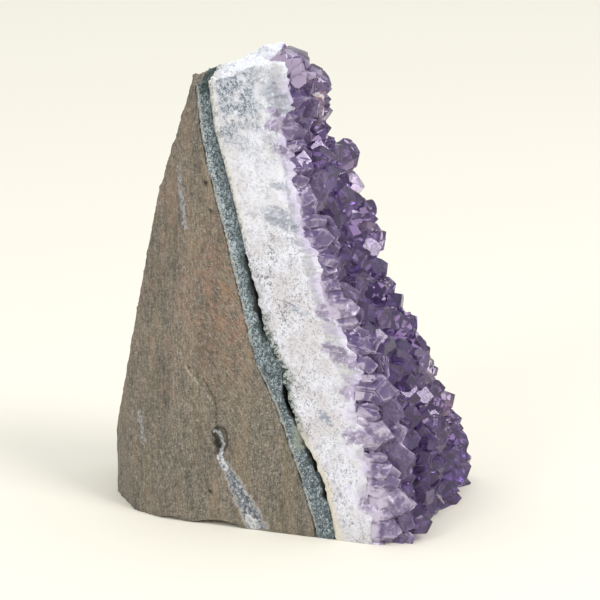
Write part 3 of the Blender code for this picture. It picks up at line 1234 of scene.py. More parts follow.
def mirror_points(faces: tuple, shelf: Shelf, seed: int) -> None:
    """Adds points with one large face that mirrors the key light.

    Args:
        faces: (X, Y, height) of each face, the radius of its crystal and how far it stands out.
        shelf: where the points are kept until they are joined.
        seed: sets how each one leans.
    """
    crystal = Crystal((0.36, 0.02, 0.04), (-0.2, -0.24, -0.2))
    rolls = random.Random(seed)
    for x, y, z, radius, lift in faces:
        facing = (GLINT_NORMAL + scatter(rolls, 0.05)).normalized()
        wish = Vector((rolls.uniform(0.0, 0.5), -1, rolls.uniform(-0.1, 0.4)))
        across = (wish - wish.dot(facing) * facing).normalized()
        axis = facing * math.cos(crystal.face_angle) + across * math.sin(crystal.face_angle)
        side = (facing - facing.dot(axis) * axis).normalized()
        right = Matrix.Rotation(-crystal.first_face, 3, axis) @ side
        turn = Matrix((right, axis.cross(right), axis)).transposed().to_4x4()
        depth = crystal.face_reach(crystal.large[0]) * radius
        middle = Vector((x, y, z)) * MM + facing * (lift - depth) * MM - across * 0.5 * radius * MM
        point = crystal.model(f"mirror_point_{len(shelf.objects)}")
        to_shelf(point, shelf, Matrix.Translation(middle) @ turn @ Matrix.Scale(radius * MM, 4))


def join_all(obj: Piece, shelf: Shelf) -> None:
    """Fuses an object with all that a shelf holds, and removes the shelf.

    Args:
        obj: the object.
        shelf: the shelf.
    """
    settings = {"operation": "UNION", "solver": "MANIFOLD", "operand_type": "COLLECTION"}
    apply_modifier(obj, "BOOLEAN", **settings, collection=shelf)
    for part in list(shelf.objects):
        remove(part)
    bpy.data.collections.remove(shelf)


def keep_under(obj: Piece, point: Vector, normal: Vector, size: float = 0.3) -> None:
    """Cuts an object off along a plane.

    Args:
        obj: the object.
        point: a point on the plane.
        normal: the direction of the side that is cut away.
        size: width of the block that is kept, in metres.
    """
    bpy.ops.object.select_all(action="DESELECT")
    bpy.ops.mesh.primitive_cube_add(size=size)
    block = bpy.context.object
    turn = normal.to_track_quat("Z", "Y").to_matrix().to_4x4()
    block.data.transform(Matrix.Translation(point) @ turn @ Matrix.Translation((0, 0, -size / 2)))
    apply_modifier(obj, "BOOLEAN", operation="INTERSECT", solver="MANIFOLD", object=block)
    remove(block)


def saw_point(recess: float) -> Vector:
    """A point of the sawn side's plane, moved in by a recess."""
    return Vector((SAWN_FOOT_X * MM, 0, 0)) - SAWN_NORMAL * (recess * MM)


def cut_to_block(obj: Piece, recess: float) -> None:
    """Cuts crystals along the sawn side, the base and the crest.

    Args:
        obj: the crystals.
        recess: how far they end under the sawn side.
    """
    keep_under(obj, saw_point(recess), SAWN_NORMAL)
    keep_under(obj, Vector((0, 0, BASE_TRIM)), Vector((0, 0, -1)))
    keep_under(obj, CREST_POINT - CREST_NORMAL * 0.1 * (recess * MM), CREST_NORMAL)


# ---------------------------------------------------------------- the rock


@dataclass
class SawnRock:
    """The lava rock, with its sawn side, its ground edge facets, its broken back and a bubble with a vein.

    Attributes:
        vein: (Y, height) of the groove's points.
        bubble: the same for the bubble.
        pits: (Y, height) and radius of each pit.
        rusty_middle: (Y, height) of the rusty glow's middle.
        rusty_reach: how far it reaches along each axis.
    """

    cell: float = 0.42
    break_depth: float = 0.7
    vein: tuple = ((4.0, 12.2), (2.7, 10.3), (1.6, 8.6), (-1.5, 3.4), (-4.0, -1.0))
    bubble: tuple = ((5.5, 18.8), (5.3, 17.0))
    pits: tuple = ((9.8, 69.0, 0.55), (7.2, 6.8, 0.5), (8.6, 63.5, 0.35), (12.4, 31.6, 0.35))
    rusty_middle: tuple = (5.0, 46.0)
    rusty_reach: tuple = (9, 22)

    def pitted(self, points: Rows, gain: float, widen: float) -> Rows:
        """Where the pits are, from 0 to 1 for each, with their radii widened by a factor."""
        spots = [(((y, z), (y, z + 0.01)), widen * radius) for y, z, radius in self.pits]
        return sum(near_line(points, spot, reach, gain) for spot, reach in spots)

    def build(self, effects: SharedEffects) -> None:
        """Builds the rock, writes its marks and dresses it.

        Args:
            effects: the shared node groups.
        """
        rock = node_copy("basalt_matrix", "basalt_body")
        points, normals = fresh_skin(rock, self.cell)
        height = points[:, 2]
        sawn = step(under_saw(points), 0.5, 0.25)
        base = step(height, 0.5, 0.2)
        ground = step(normals[:, 0], -0.25, -0.4) * (1 - sawn)
        hidden = step(normals[:, 1], -0.4, -0.6) * (1 - sawn)
        broken = np.clip(1 - sawn - base - ground - hidden, 0, 1)
        coarse = shards(points, 5, 3) * 0.9 + swell(points, 3.2, 5, 3) * 0.5
        fine = shards(points, 1.7, 11) * 0.35 + swell(points, 0.9, 13, 2) * 0.25
        push = broken * (coarse + fine - 0.5) * self.break_depth
        push += ground * (swell(points, 2.4, 17, 3) * 0.12 - 0.1)
        push += sawn * (swell(points, (3, 0.5, 7), 19, 2) * 0.025 - 0.03)
        push -= sawn * step(swell(points, 2.2, 23, 2), 0.35, 0.8) * step(height, 1.6, 0.1) * 0.5
        push -= sawn * self.pitted(points, 1.0, 1.0) * 0.6
        push -= sawn * near_line(points, self.vein, 2.0) * 0.14
        push -= sawn * near_line(points, self.bubble, 1.7) * 0.4
        put_points(rock, points + normals * push[:, None])
        away = np.linalg.norm((points[:, 1:] - self.rusty_middle) / self.rusty_reach, axis=1)
        slant = step(np.abs(points[:, 1] - 2) / 11 + np.abs(height - 40) / 34, 1.1, 0.6)
        mark(
            rock,
            sawn=np.maximum(sawn, ground * 0.8),
            # Where painted shade lies in the pits.
            hollow=self.pitted(points, 1.5, 1.2) * sawn,
            blush=step(points[:, 1], 4, 16) * (0.08 + 0.3 * step(height, 12, 40)),
            rusty=step(away, 1.25, 0.2),
            slanted=slant * sawn,
        )
        finish_piece(rock, Slot.BASALT, BasaltFinish().build(effects), "basalt_matrix")


@dataclass
class GreenRind:
    """The rind between the rock and the quartz, ragged along the open crack, with a loose lump in it.

    Attributes:
        joint: how far it reaches into the rock.
        lump: (Y, height) of the lump's ends.
        top_patches: the same for the dark green patches near the top.
    """

    cell: float = 0.36
    joint: float = 0.36
    lump: tuple = ((-11.2, 22.3), (-11.4, 18.6))
    top_patches: tuple = ((12.2, 94.6), (11.2, 88.0))

    def build(self, effects: SharedEffects) -> None:
        """Builds the rind, writes its marks and dresses it.

        Args:
            effects: the shared node groups.
        """
        rind = node_copy("chalcedony_rind", "green_rind")
        points, normals = fresh_skin(rind, self.cell)
        height, crack = points[:, 2], crack_share(points[:, 2])
        sawn = step(under_saw(points), 0.45, 0.2) * step(normals[:, 0], -0.5, -0.8)
        open_side = step(normals[:, 1], -0.3, -0.8)
        push = shards(points, 0.9, 31) * 0.1 + swell(points, 0.8, 33, 2) * 0.05 - 0.06
        push += open_side * (crack * (swell(points, 2.2, 35, 3) * 0.4 + 0.05) + (1 - crack) * 0.22)
        push += step(normals[:, 1], 0.5, 0.9) * self.joint
        push += (1 - sawn) * (1 - open_side) * step(height, 0.2, 1) * swell(points, 2.0, 37, 3) * 0.2
        put_points(rind, points + normals * push[:, None])
        gap = behind(points, RIND_FRONT)
        deep = step(gap + 0.7 * swell(points, 1.8, 103, 2), 2.6, 1.2)
        open_edge = step(gap + 0.9 * swell(points, 2.6, 69, 2), 1.5, 0.2)
        ragged_gap = gap - (0.45 + 0.7 * swell(points, 1.4, 67, 2)) * crack
        patches = np.clip(0.8 + 0.5 * swell(points, 1.5, 39), 0, 1)
        mark(
            rind,
            inner=step(-behind(points, ROCK_FRONT), 0.5, 0.12) * sawn * 0.8,
            bright=step(height, 26, 56) * step(height, 94, 88) * (1 - 0.65 * deep),
            deep=deep * step(height, 20, 44),
            outer=open_edge * (0.45 + 0.55 * crack),
            # Where painted shade lies in the open crack.
            crevice=step(ragged_gap, 0.35, 0.0) * crack,
            green=near_line(points, self.top_patches, 2.2, 2.2) * patches,
            lump=near_line(points, self.lump, 1.7, 1.8),
        )
        finish_piece(rind, Slot.RIND, RindFinish().build(effects), "chalcedony_rind")


@dataclass
class WhiteQuartz:
    """The white quartz: sugary where it is sawn, broken on top, with roots that run into the points.

    Attributes:
        crust: the surface of the amethyst, past which no root reaches.
        joint: how far the quartz reaches into the crust.
        near_crust: how far from the crust's surface a root has to end.
    """

    crust: BVHTree
    cell: float = 0.4
    joint: float = 0.6
    near_crust: float = 0.35

    def __post_init__(self) -> None:
        """Makes the skin, and measures its vertices before they are moved."""
        self.quartz = node_copy("white_quartz", "quartz_body")
        self.points, self.normals = fresh_skin(self.quartz, self.cell)
        self.depth = under_saw(self.points)
        self.inward = behind(self.points, QUARTZ_FRONT)
        self.rind_gap = -behind(self.points, RIND_FRONT)

    def build(self, effects: SharedEffects) -> None:
        """Builds the quartz and dresses it.

        Args:
            effects: the shared node groups.
        """
        points, normals, depth, inward = self.points, self.normals, self.depth, self.inward
        height = points[:, 2]
        crack = crack_share(height)
        front = step(normals[:, 1], -0.5, -0.8) * step(inward, 2.5, 1.2)
        sawn = step(depth, 0.5, 0.2) * (1 - front)
        top = step(normals[:, 2], 0.25, 0.5) * step(height, 84, 88)
        far = step(normals[:, 0], 0.3, 0.6)
        sugar = shards(points, 0.9, 41) * 0.06 + shards(points, 2.3, 43) * 0.06
        blocks = shards(points, 4.2, 45) * 0.9 + shards(points, 1.8, 47) * 0.45
        push = (1 - step(height, 0.5, 0.2)) * (1 - front) * (sugar - 0.04)
        push += step(normals[:, 1], 0.4, 0.8) * (1 - sawn) * (1 - crack) * 0.28
        push += np.maximum(top, far * 0.8) * (blocks - 0.15)
        lifted = points + normals * push[:, None]
        reach = self.root_reach()
        lifted[:, 1] -= np.maximum(front, step(inward, 5, 0.6) * step(depth, 8, 5)) * reach
        torn = step(self.rind_gap, 2.0, 0.8) * crack
        lifted[:, 1] -= torn * (0.45 * swell(points, 1.7, 71, 3) - 0.2)
        put_points(self.quartz, lifted)
        self.write_marks(front, top, lifted[:, 1] - (boundary(QUARTZ_FRONT, height) - reach))
        finish_piece(self.quartz, Slot.QUARTZ, QuartzFinish().build(effects), "white_quartz")

    def write_marks(self, front: Rows, top: Rows, inside: Rows) -> None:
        """Writes what the finish reads.

        Args:
            front: how much each vertex belongs to the front.
            top: how much each one belongs to the broken top.
            inside: how far each one lies behind the roots' ends.
        """
        points, depth, rind_gap = self.points, self.depth, self.rind_gap
        height = points[:, 2]
        wandering = inside + 1.8 * swell(points, 4, 79, 2)
        lilac_here = step(height, 93, 89) * step(height, 2, 9)
        few = 1 - 0.45 * step(height + 5 * swell(points, 9, 73), 48, 64)
        specked = np.clip(0.85 + 0.5 * swell(points, 9, 51, 2), 0, 1) * step(wandering, 0.4, 3.6)
        glassy = step(height + 3 * swell(points, 5, 75), 72, 80) * step(height, 95, 91)
        clean = step(height, 54, 66) * 0.22 * step(inside, 0.5, 3)
        inner = step(wandering, 5.0, 1.0) * (0.25 + 0.45 * step(height, 30, 48))
        margin = np.maximum(step(height, 34, 16), step(height, 56, 62) * 0.5)
        mossy = step(height, 18, 24) * step(height, 56, 36)
        mark(
            self.quartz,
            front=step(inside + swell(points, 2.0, 49, 3) * 2.0, 3.6, -0.8) * lilac_here,
            sawn=step(depth, 1.6, 0.8),
            under=step(depth, 1.6, 3.6) * front,
            specked=specked * few * (1 - front),
            glassy=glassy * (0.45 + 0.55 * step(self.inward, 2, 8)) * (1 - 0.9 * top),
            snowy=np.max([top, step(height, 91.5, 93.5), clean, inner], axis=0),
            cream=step(rind_gap, 1.9, 0.5) * margin,
            seam=0.9 * step(rind_gap, 2.6, 0.3) * (1 - crack_share(height)) * step(height, 40, 60),
            moss=step(rind_gap + 0.8 * swell(points, 1.5, 77, 2), 2.2, 0.9) * mossy,
        )

    def root_reach(self) -> Rows:
        """How far each vertex is drawn out into the amethyst, if it belongs to the front.

        Returns:
            One distance for each vertex.
        """
        points, depth, crust = self.points, self.depth, self.crust
        flat = points * (1, 0, 1)
        quartz_front = boundary(QUARTZ_FRONT, points[:, 2])
        ragged = swell(flat, 5.5, 57) * 1.3 + swell(flat, 3.0, 53, 3) * 1.0
        ragged += (np.abs(swell(flat, 1.8, 105)) - 0.3) * 1.6
        wanted = quartz_front - boundary(WHITE_REACH, points[:, 2]) + ragged - 0.4
        reach = self.joint + step(depth, 7, 2) * wanted
        for index in np.flatnonzero(points[:, 1] < quartz_front + 3 * self.cell):
            here = Vector(points[index] * MM)
            hit, _, _, space = crust.ray_cast(here + FORWARD * ((self.joint + 0.2) * MM), FORWARD)
            reach[index] = 0 if hit is None else min(reach[index], self.joint + 0.6 * space / MM)
            place = here + FORWARD * (reach[index] * MM)
            nearest, normal, _, gap = crust.find_nearest(place)
            outside = (place - nearest).dot(normal) > 0
            if (outside or gap < self.near_crust * MM) and depth[index] > 1.2:
                reach[index] = min(reach[index], 0.2)
        return reach


# ---------------------------------------------------------------- the crystals


@dataclass
class AmethystCrust:
    """The crust of amethyst points, with small points in the valleys between the large ones.

    Attributes:
        store: the crystals to copy.
        front_grid: (X, height) of the grid's first corner, and its width and height.
        flank_grid: the same with Y, for the side that faces +X.
        front_lean: how far the small points of the front lean.
        flank_lean: the same for the flank.
        probe: how far from a valley's middle its sides are measured.
        spacing: width of a cell, which holds one small point. It and the sizes after it are in metres.
        flank_depth: how far behind the front the flank's points end.
        far_side: where the part ends towards +X.
        valley: how far a point may stand out from its surroundings.
        merge: vertices closer than this are merged.
        flat_angle: faces that turn by less than this are made one.
        cut_back: how far the crust ends under the sawn side, in millimetres.
        crest: heights between which the crust turns milky.
        bright_faces: faces that mirror the key light, as mirror_points takes them.
        rusty_tips: (X, Y, height) of each rusty tip, and how far the rust reaches.
    """

    store: CrystalStore
    seed: int = 71
    kinds: int = 64
    front_grid: tuple = ((-22, 1.2), (50, 96))
    flank_grid: tuple = ((-37, 1.5), (38, 92))
    front_lean: float = 0.5
    flank_lean: float = 0.35
    probe: float = 3
    spacing: float = 4.6 * MM
    flank_spacing: float = 2.6 * MM
    flank_depth: float = 6.5 * MM
    far_side: float = 23.6 * MM
    valley: float = 0.25 * MM
    smallest: float = 1.5 * MM
    largest: float = 2.7 * MM
    merge: float = 0.01 * MM
    flat_angle: float = math.radians(0.6)
    cut_back: float = 2.6
    crest: tuple = (90.5, 94)
    bright_faces: tuple = (
        (-10.3, -12.6, 75.9, 2.0, 0.9), (0.1, -20.4, 54.5, 2.5, 0.9), (-11.4, -25.4, 39.1, 2.0, 1.2),
        (-7.7, -30.6, 27.8, 2.5, 1.1), (-0.6, -31.3, 24.0, 2.2, 2.2), (8.2, -31.1, 16.0, 3.0, 2.4),
    )
    rusty_tips: tuple = (
        (-3.1, -15.9, 72.3, 3.2), (4.5, -15.0, 64.0, 3.4), (5.0, -29.0, 30.5, 3.0), (10.5, -29.0, 30.5, 3.2),
    )

    def __post_init__(self) -> None:
        """Copies the solid crust, and keeps its surface before the small points."""
        self.crust = node_copy("amethyst_points", "amethyst_crust")
        mesh = self.crust.data
        corners = [face.vertices[:] for face in mesh.polygons]
        self.surface = BVHTree.FromPolygons([vertex.co.copy() for vertex in mesh.vertices], corners)
        self.rolls = random.Random(self.seed)
        self.small = new_shelf("small_points")

    def cells(self, grid: tuple, spacing: float, leans: int, reach: float) -> Iterator[tuple]:
        """Rolls a crystal for each cell of a grid, row by row.

        Args:
            grid: its first corner, and its width and height.
            spacing: width of a cell.
            leans: how many leans are rolled.
            reach: how far each one goes.

        Yields:
            The crystal's two coordinates, its radius, its leans, its spin and its kind.
        """
        rolls = self.rolls
        (left, foot), (width, height) = grid
        for row in range(int(height * MM / spacing)):
            for column in range(int(width * MM / spacing)):
                across = left * MM + (column + rolls.random()) * spacing
                up = foot * MM + (row + rolls.random()) * spacing
                radius = rolls.uniform(self.smallest, self.largest)
                lean = [rolls.uniform(-reach, reach) for _ in range(leans)]
                yield across, up, radius, lean, rolls.uniform(0, math.tau), rolls.randrange(self.kinds)

    def front_points(self) -> None:
        """Puts small points in the valleys of the front."""
        gap = self.probe
        sides = (0, 0), (gap, 0), (-gap, 0), (0, gap), (0, -gap)
        for x, z, radius, tilt, spin, kind in self.cells(self.front_grid, self.spacing, 2, self.front_lean):
            (place, normal, *_), *around = (
                self.surface.ray_cast(Vector((x + dx * MM, -OUTSIDE, z + dz * MM)), -FORWARD) for dx, dz in sides
            )
            if place is None or any(hit[0] is None for hit in around):
                continue
            if place.y < sum(hit[0].y for hit in around) / 4 - self.valley:
                continue
            lean = (Vector((0, -1, 0.2)) + normal * 0.5).normalized()
            stand = place + lean * radius * self.rolls.uniform(0.1, 0.9)
            turns = ((tilt[0], "X"), (tilt[1], "Y"), (spin, "Z"))
            self.store.copy(kind, standing(stand, lean, radius, *turns), self.small)

    def flank_points(self) -> None:
        """Puts small points on the side of the crust that faces +X."""
        grid, spacing = self.flank_grid, self.flank_spacing
        for y, z, radius, lean, spin, kind in self.cells(grid, spacing, 3, self.flank_lean):
            place, normal, _, _ = self.surface.ray_cast(Vector((OUTSIDE, y, z)), Vector((-1, 0, 0)))
            if place is None or normal.x < 0.5 or place.x > self.far_side - 0.3 * radius:
                continue
            if place.y < boundary(QUARTZ_FRONT, place.z / MM) * MM - self.flank_depth:
                continue
            axis = (normal * 0.7 + Vector((0, -0.7, 0.15)) + Vector(lean)).normalized()
            stand = place - normal * radius * 0.55 + axis * radius * 0.3
            self.store.copy(kind, standing(stand, axis, radius, (spin, "Z")), self.small)

    def build(self, material: Material) -> None:
        """Joins the small points to the crust, trims it and dresses it.

        Args:
            material: the amethyst.
        """
        self.front_points()
        self.flank_points()
        mirror_points(self.bright_faces, self.small, self.seed + 1)
        join_all(self.crust, self.small)
        cut_to_block(self.crust, self.cut_back)
        with editing(self.crust):
            bpy.ops.mesh.remove_doubles(threshold=self.merge)
            bpy.ops.mesh.dissolve_limited(angle_limit=self.flat_angle)
            bpy.ops.mesh.quads_convert_to_tris()
        points = points_of(self.crust)
        rust = [1 - np.linalg.norm(points - place, axis=1) / reach for *place, reach in self.rusty_tips]
        crest = step(points[:, 2], *self.crest)
        mark(self.crust, rust=np.max(rust, axis=0), milky=crest, frosted=crest)
        finish_piece(self.crust, Slot.AMETHYST, material, "amethyst_points")


@dataclass
class CutRim:
    """The crystals beside the saw cut: milky at their roots, some of them rounded and partly broken, with
    painted highlights on their edges.

    Attributes:
        store: the crystals to copy.
        slab: how deep the rim reaches under the sawn side.
        recess: how far its crystals end under the sawn side.
        deepest: how far its backing falls back.
        chipping: depth of the chips in the cut.
        ridge_angle: how sharply an edge has to turn to get a painted highlight.
        fillers: how many more crystals stand along the rim.
        bright_faces: faces that mirror the key light, as mirror_points takes them.
        lobes: for each large crystal, (Y, height) of its root and of its tip, its radius and how pale it is.
    """

    store: CrystalStore
    seed: int = 83
    cell: float = 0.4
    slab: float = 3.8
    recess: float = 0.12
    deepest: float = 3.0
    chipping: float = 0.22
    ridge_angle: float = math.radians(22)
    fillers: int = 26
    fillers_top: float = 88
    bright_faces: tuple = (
        (-17.3, -21.8, 46.0, 1.8, 0.9), (-20.6, -29.4, 22.6, 1.5, 1.0), (-20.6, -27.0, 32.8, 1.4, 1.2),
        (-19.4, -29.6, 15.0, 1.0, 1.0), (-21.4, -30.6, 9.0, 1.2, 1.0), (-19.6, -13.6, 59.6, 1.2, 1.2),
    )
    lobes: tuple = (
        (-3.0, 92.0, -8.4, 92.6, 2.4, 0.2), (-2.6, 86.8, -8.4, 87.2, 2.9, 0.0),
        (-4.0, 79.6, -9.8, 80.2, 2.8, 0.2), (-5.0, 73.4, -11.2, 74.2, 2.7, 0.1),
        (-5.6, 66.0, -12.8, 65.4, 3.5, 0.3), (-9.6, 59.4, -16.4, 59.2, 3.1, 0.1),
        (-9.0, 52.6, -16.6, 51.6, 3.4, 0.2), (-12.0, 46.0, -20.6, 45.4, 3.4, 0.6),
        (-16.0, 39.6, -25.8, 37.6, 2.9, 0.1), (-21.6, 30.6, -29.8, 30.2, 4.0, 0.1),
        (-21.8, 21.4, -30.2, 21.2, 3.9, 0.7), (-25.2, 14.4, -31.8, 14.2, 2.9, 0.4),
        (-26.0, 8.2, -33.8, 8.4, 3.3, 0.8), (-27.2, 2.4, -32.6, 2.8, 2.7, 0.5),
    )

    def __post_init__(self) -> None:
        """Readies the random numbers, and the shelf that keeps the crystals until they are joined."""
        self.rolls = random.Random(self.seed)
        self.shelf = new_shelf("lobes")

    def backing(self) -> Piece:
        """The crust beside the cut. Past the white roots its side falls back behind the crystals.

        Returns:
            The backing.
        """
        rim = node_copy("amethyst_points", "cut_rim")
        keep_under(rim, saw_point(self.slab), -SAWN_NORMAL)
        points, _ = fresh_skin(rim, self.cell)
        wanted = self.recess + step(-behind(points, WHITE_REACH), -0.5, 4.0) * self.deepest
        wanted += np.abs(shards(points, 2.2, 61)) * 0.5
        lower = np.maximum(wanted - under_saw(points), 0)
        put_points(rim, points - np.array(SAWN_NORMAL) * lower[:, None])
        return rim

    def grow(self, kind: int, root: Vector, tip: Vector, radius: float) -> None:
        """Puts a crystal just under the sawn side.

        Args:
            kind: which crystal.
            root: where it grows from.
            tip: where it points to.
            radius: its radius in millimetres.
        """
        axis = (tip - root).normalized()
        axis.x = self.rolls.uniform(-0.08, 0.22)
        axis.normalize()
        shoulder = tip - axis * (radius * MM) * 0.75
        lift = radius * MM * self.rolls.uniform(0.82, 1.02)
        shoulder.x = SAWN_FOOT_X * MM + shoulder.z * math.tan(SAWN_LEAN) + lift
        spin = (self.rolls.uniform(0, math.tau), "Z")
        self.store.copy(kind, standing(shoulder, axis, radius * MM, spin), self.shelf)

    def grow_all(self) -> None:
        """Puts the large crystals, the small ones beside each, the bright faces and the fillers."""
        rolls = self.rolls
        for number, (root_y, root_z, tip_y, tip_z, radius, _) in enumerate(self.lobes):
            root = Vector((0, root_y, root_z)) * MM
            tip = Vector((0, tip_y, tip_z)) * MM
            self.grow(number, root, tip, radius)
            for side in (-1, 1):
                share = rolls.uniform(0.35, 0.6)
                along, aside = rolls.uniform(-0.5, 1.5), side * radius * rolls.uniform(0.75, 1.1)
                shift = Vector((0, along, aside)) * MM
                lean = Vector((0, 0, side * rolls.uniform(0.5, 2.5))) * MM
                self.grow(number + side, root + shift, root.lerp(tip, 0.75) + shift + lean, radius * share)
        mirror_points(self.bright_faces, self.shelf, self.seed + 6)
        for number in range(self.fillers):
            height = self.fillers_top * (number + rolls.random()) / self.fillers
            root_y = boundary(WHITE_REACH, height)
            spread = rolls.uniform(0.8, 5.0)
            radius = rolls.uniform(1.4, 2.7)
            tip = Vector((0, root_y - spread, height + rolls.uniform(-1.5, 1.5))) * MM
            self.grow(number, Vector((0, root_y + 2, height)) * MM, tip, radius)
        for crystal in self.shelf.objects:
            apply_modifier(crystal, "TRIANGULATE")
            apply_modifier(crystal, "SUBSURF", subdivision_type="SIMPLE", levels=2, render_levels=2)

    def build(self, material: Material) -> None:
        """Builds the rim, writes its marks and dresses it.

        Args:
            material: the clouded amethyst.
        """
        rim = self.backing()
        self.grow_all()
        join_all(rim, self.shelf)
        cut_to_block(rim, self.recess)
        highlight_ridges = sharp_ridges(rim, self.ridge_angle)
        points = points_of(rim)
        depth = under_saw(points)
        chips = np.abs(shards(points, 1.7, 101)) * step(depth, 3, 0.8) * self.chipping
        put_points(rim, points - np.array(SAWN_NORMAL) * chips[:, None])
        root, pale = self.nearest_lobe(points)
        white = step(behind(points, WHITE_REACH), -1.0, 1.0)
        mark(
            rim,
            milky=np.maximum(white, step(root + 0.5 * pale, 0.75, 1.15)),
            pale=pale,
            # Painted highlight along the outward edges.
            edge=highlight_ridges,
            frosted=step(depth, 0.3, 0.15) * 0.5,
            rust=0,
        )
        finish_piece(rim, Slot.AMETHYST, material)

    def nearest_lobe(self, points: Rows) -> tuple[Rows, Rows]:
        """Finds each point's large crystal.

        Args:
            points: one row for each point.

        Returns:
            How near each point is to the root of its crystal, 1 at the root and 0 at the tip, and how pale
            the crystal is.
        """
        runs = [along_run(points, lobe[:2], lobe[2:4]) for lobe in self.lobes]
        nearest = np.argmin([gap / lobe[4] for (_, gap), lobe in zip(runs, self.lobes)], axis=0)
        along = np.choose(nearest, [share for share, _ in runs])
        return 1 - along, np.array([lobe[5] for lobe in self.lobes])[nearest]


@dataclass
class BrokenBits:
    """Pale stubs of crystals: along the crest and on the far rim.

    Attributes:
        crest: (X, Y, height) of each stub of the crest and its radius.
        far_rim: the same for the far rim.
        recess: how far they end under the sawn side.
    """

    crest: tuple = (
        (-13.8, -8.4, 93.0, 1.9), (-10.8, -8.4, 92.8, 1.8), (-8.0, -8.0, 92.2, 1.6), (-11.8, -10.6, 90.6, 1.8),
        (-8.6, -10.4, 90.6, 1.7), (-14.6, -9.8, 90.8, 1.5), (-14.0, -5.6, 94.0, 2.2), (-11.2, -6.2, 93.8, 2.2),
        (-8.6, -5.8, 93.4, 1.9),
    )
    far_rim: tuple = (
        (-8.2, -11.0, 86.4, 1.5), (-10.6, -11.4, 84.4, 1.3), (-7.0, -10.4, 82.0, 1.5), (5.2, -16.6, 57.6, 1.4),
        (8.4, -28.6, 26.4, 1.6), (14.0, -28.6, 21.4, 1.9), (15.4, -30.4, 17.4, 1.7),
    )
    recess: float = 0.4

    def row(self, name: str, stubs: tuple, lean: tuple, seed: int) -> Piece:
        """Joins a row of stubs in one object.

        Args:
            name: the object's name.
            stubs: places and radii.
            lean: the direction that they mostly point in.
            seed: sets how each one leans.

        Returns:
            The object.
        """
        rolls = random.Random(seed)
        shelf = new_shelf(name + "_parts")
        for number, (x, y, z, radius) in enumerate(stubs):
            for part in range(3):
                size = radius * (1 if part == 0 else rolls.uniform(0.45, 0.7)) * MM
                aside = Vector([rolls.uniform(-0.7, 0.7) * radius * (part > 0) for _ in range(3)])
                axis = (Vector(lean) + scatter(rolls, 0.45)).normalized()
                insets = tuple(rolls.uniform(0.1, 0.5) for _ in range(3))
                stub = Crystal(insets, (0.0, 0.1, 0.05), root=1.4, edge=0.05).model(f"{name}_{number}_{part}")
                middle = (Vector((x, y, z)) + aside) * MM
                to_shelf(stub, shelf, standing(middle, axis, size, (rolls.uniform(0, math.tau), "Z")))
        joined = shelf.objects[0]
        shelf.objects.unlink(joined)
        bpy.context.scene.collection.objects.link(joined)
        joined.name = name
        join_all(joined, shelf)
        cut_to_block(joined, self.recess)
        return joined

    def build(self, effects: SharedEffects) -> None:
        """Builds the stubs and dresses them.

        Args:
            effects: the shared node groups.
        """
        crest = self.row("crest_bits", self.crest, (0, -0.7, 0.6), 91)
        mark(crest, milky=0, rust=0, frosted=0)
        pale = AmethystFinish("pale_amethyst", clear=rgb(216, 200, 228), density=60.0, transmission=0.45)
        finish_piece(crest, Slot.AMETHYST, pale.build(effects))
        far_rim = self.row("far_rim_bits", self.far_rim, (0.5, -0.8, 0.2), 97)
        finish_piece(far_rim, Slot.QUARTZ, TanBitsFinish().build(effects))


# ---------------------------------------------------------------- the studio


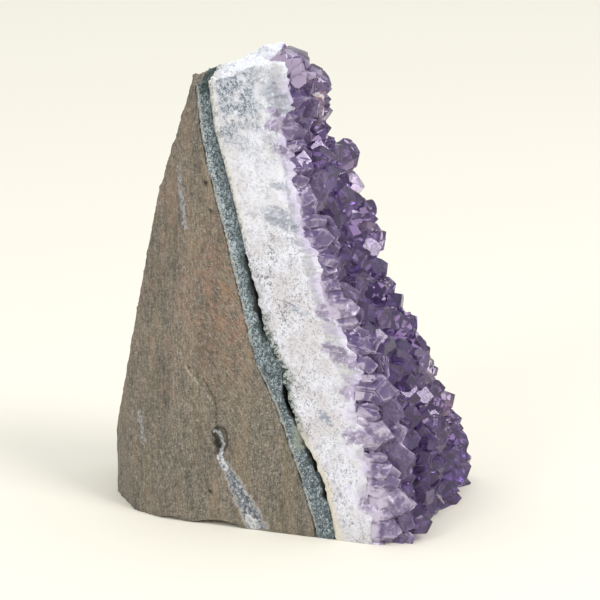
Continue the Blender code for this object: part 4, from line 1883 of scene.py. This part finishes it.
@dataclass
class Studio:
    """A pale floor, soft light from above and from the right, and the camera.

    Attributes:
        lights: name, place, width, power and colour of each light.
    """

    target: Vector = Vector((-0.028, -0.014, 0.05))
    camera_place: Vector = Vector((-0.500, -0.1858, 0.1846))
    lens: float = 162.0
    sensor: float = 36.0
    floor_radius: float = 1.5
    floor_colour: tuple = rgb(246, 243, 230)
    low_sky: tuple = (0.20, 0.20, 0.23, 1)
    high_sky: tuple = (1.0, 1.0, 1.0, 1)
    sky_strength: float = 0.98
    lights: tuple = (
        ("key", (-0.25, -0.75, 0.85), 0.4, 4.8, (1.0, 0.975, 0.94)),
        ("side", (-0.9, 0.25, 0.5), 0.3, 1.8, (0.97, 0.98, 1.0)),
    )

    def build(self) -> None:
        """Builds the floor, the lights and the camera."""
        self.floor()
        self.world()
        for light in self.lights:
            self.light(*light)
        camera = bpy.data.cameras.new("camera")
        camera.lens = self.lens
        camera.sensor_width = self.sensor
        bpy.context.scene.camera = self.aim(camera, self.camera_place)

    def floor(self) -> None:
        """A plain pale floor."""
        bpy.ops.object.select_all(action="DESELECT")
        bpy.ops.mesh.primitive_circle_add(vertices=96, radius=self.floor_radius, fill_type="NGON")
        floor = bpy.context.object
        floor.name = "floor"
        desk = Palette("floor")
        desk.base = self.floor_colour
        floor.data.materials.append(desk.fill(0.8))

    def world(self) -> None:
        """Even light from all round, brighter above."""
        world = bpy.data.worlds.new("studio")
        world.use_nodes = True
        desk = Desk(world.node_tree)
        up = desk.add("SeparateXYZ", None, desk.add("TexCoord").outputs["Generated"]).outputs["Z"]
        sky = desk.ramp(desk.span(up, 0.05, 0.62), (0.0, self.low_sky), (1.0, self.high_sky))
        desk.feed(world.node_tree.nodes["Background"], Color=sky, Strength=self.sky_strength)
        bpy.context.scene.world = world

    def light(self, name: str, place: tuple, size: float, power: float, colour: tuple) -> None:
        """A soft square light that faces the piece.

        Args:
            name: its name.
            place: where it hangs.
            size: its width.
            power: its power in watts.
            colour: its colour.
        """
        lamp = bpy.data.lights.new(name, "AREA")
        lamp.size = size
        lamp.energy = power
        lamp.color = colour
        self.aim(lamp, place)

    def aim(self, data: bpy.types.ID, place: tuple) -> Piece:
        """Hangs a light or the camera in its place, facing the piece.

        Args:
            data: the light or the camera.
            place: where it hangs.

        Returns:
            The object.
        """
        obj = bpy.data.objects.new(data.name, data)
        bpy.context.scene.collection.objects.link(obj)
        obj.location = place
        obj.rotation_euler = (self.target - Vector(place)).to_track_quat("-Z", "Y").to_euler()
        return obj


def main() -> None:
    """Builds every piece in order."""
    logging.basicConfig(level=logging.INFO, format="%(name)s: %(message)s")
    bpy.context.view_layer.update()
    bpy.context.scene.view_settings.view_transform = "Standard"
    effects = SharedEffects()
    sharp = CrystalStore(edge=0.03)
    crust = AmethystCrust(sharp)
    crust.build(AmethystFinish().build(effects))
    sharp.clear()
    rim_finish = AmethystFinish(
        name="milky_amethyst",
        clear=rgb(118, 100, 146),
        root=rgb(236, 226, 246),
        veiled=0.75,
        density=90.0,
        transmission=0.34,
        roughness=0.03,
        ripple=0.03,
    )
    worn = CrystalStore(edge=0.06)
    CutRim(worn).build(rim_finish.build(effects))
    worn.clear()
    WhiteQuartz(crust.surface).build(effects)
    GreenRind().build(effects)
    SawnRock().build(effects)
    BrokenBits().build(effects)
    Studio().build()


if __name__ == "__main__":
    main()
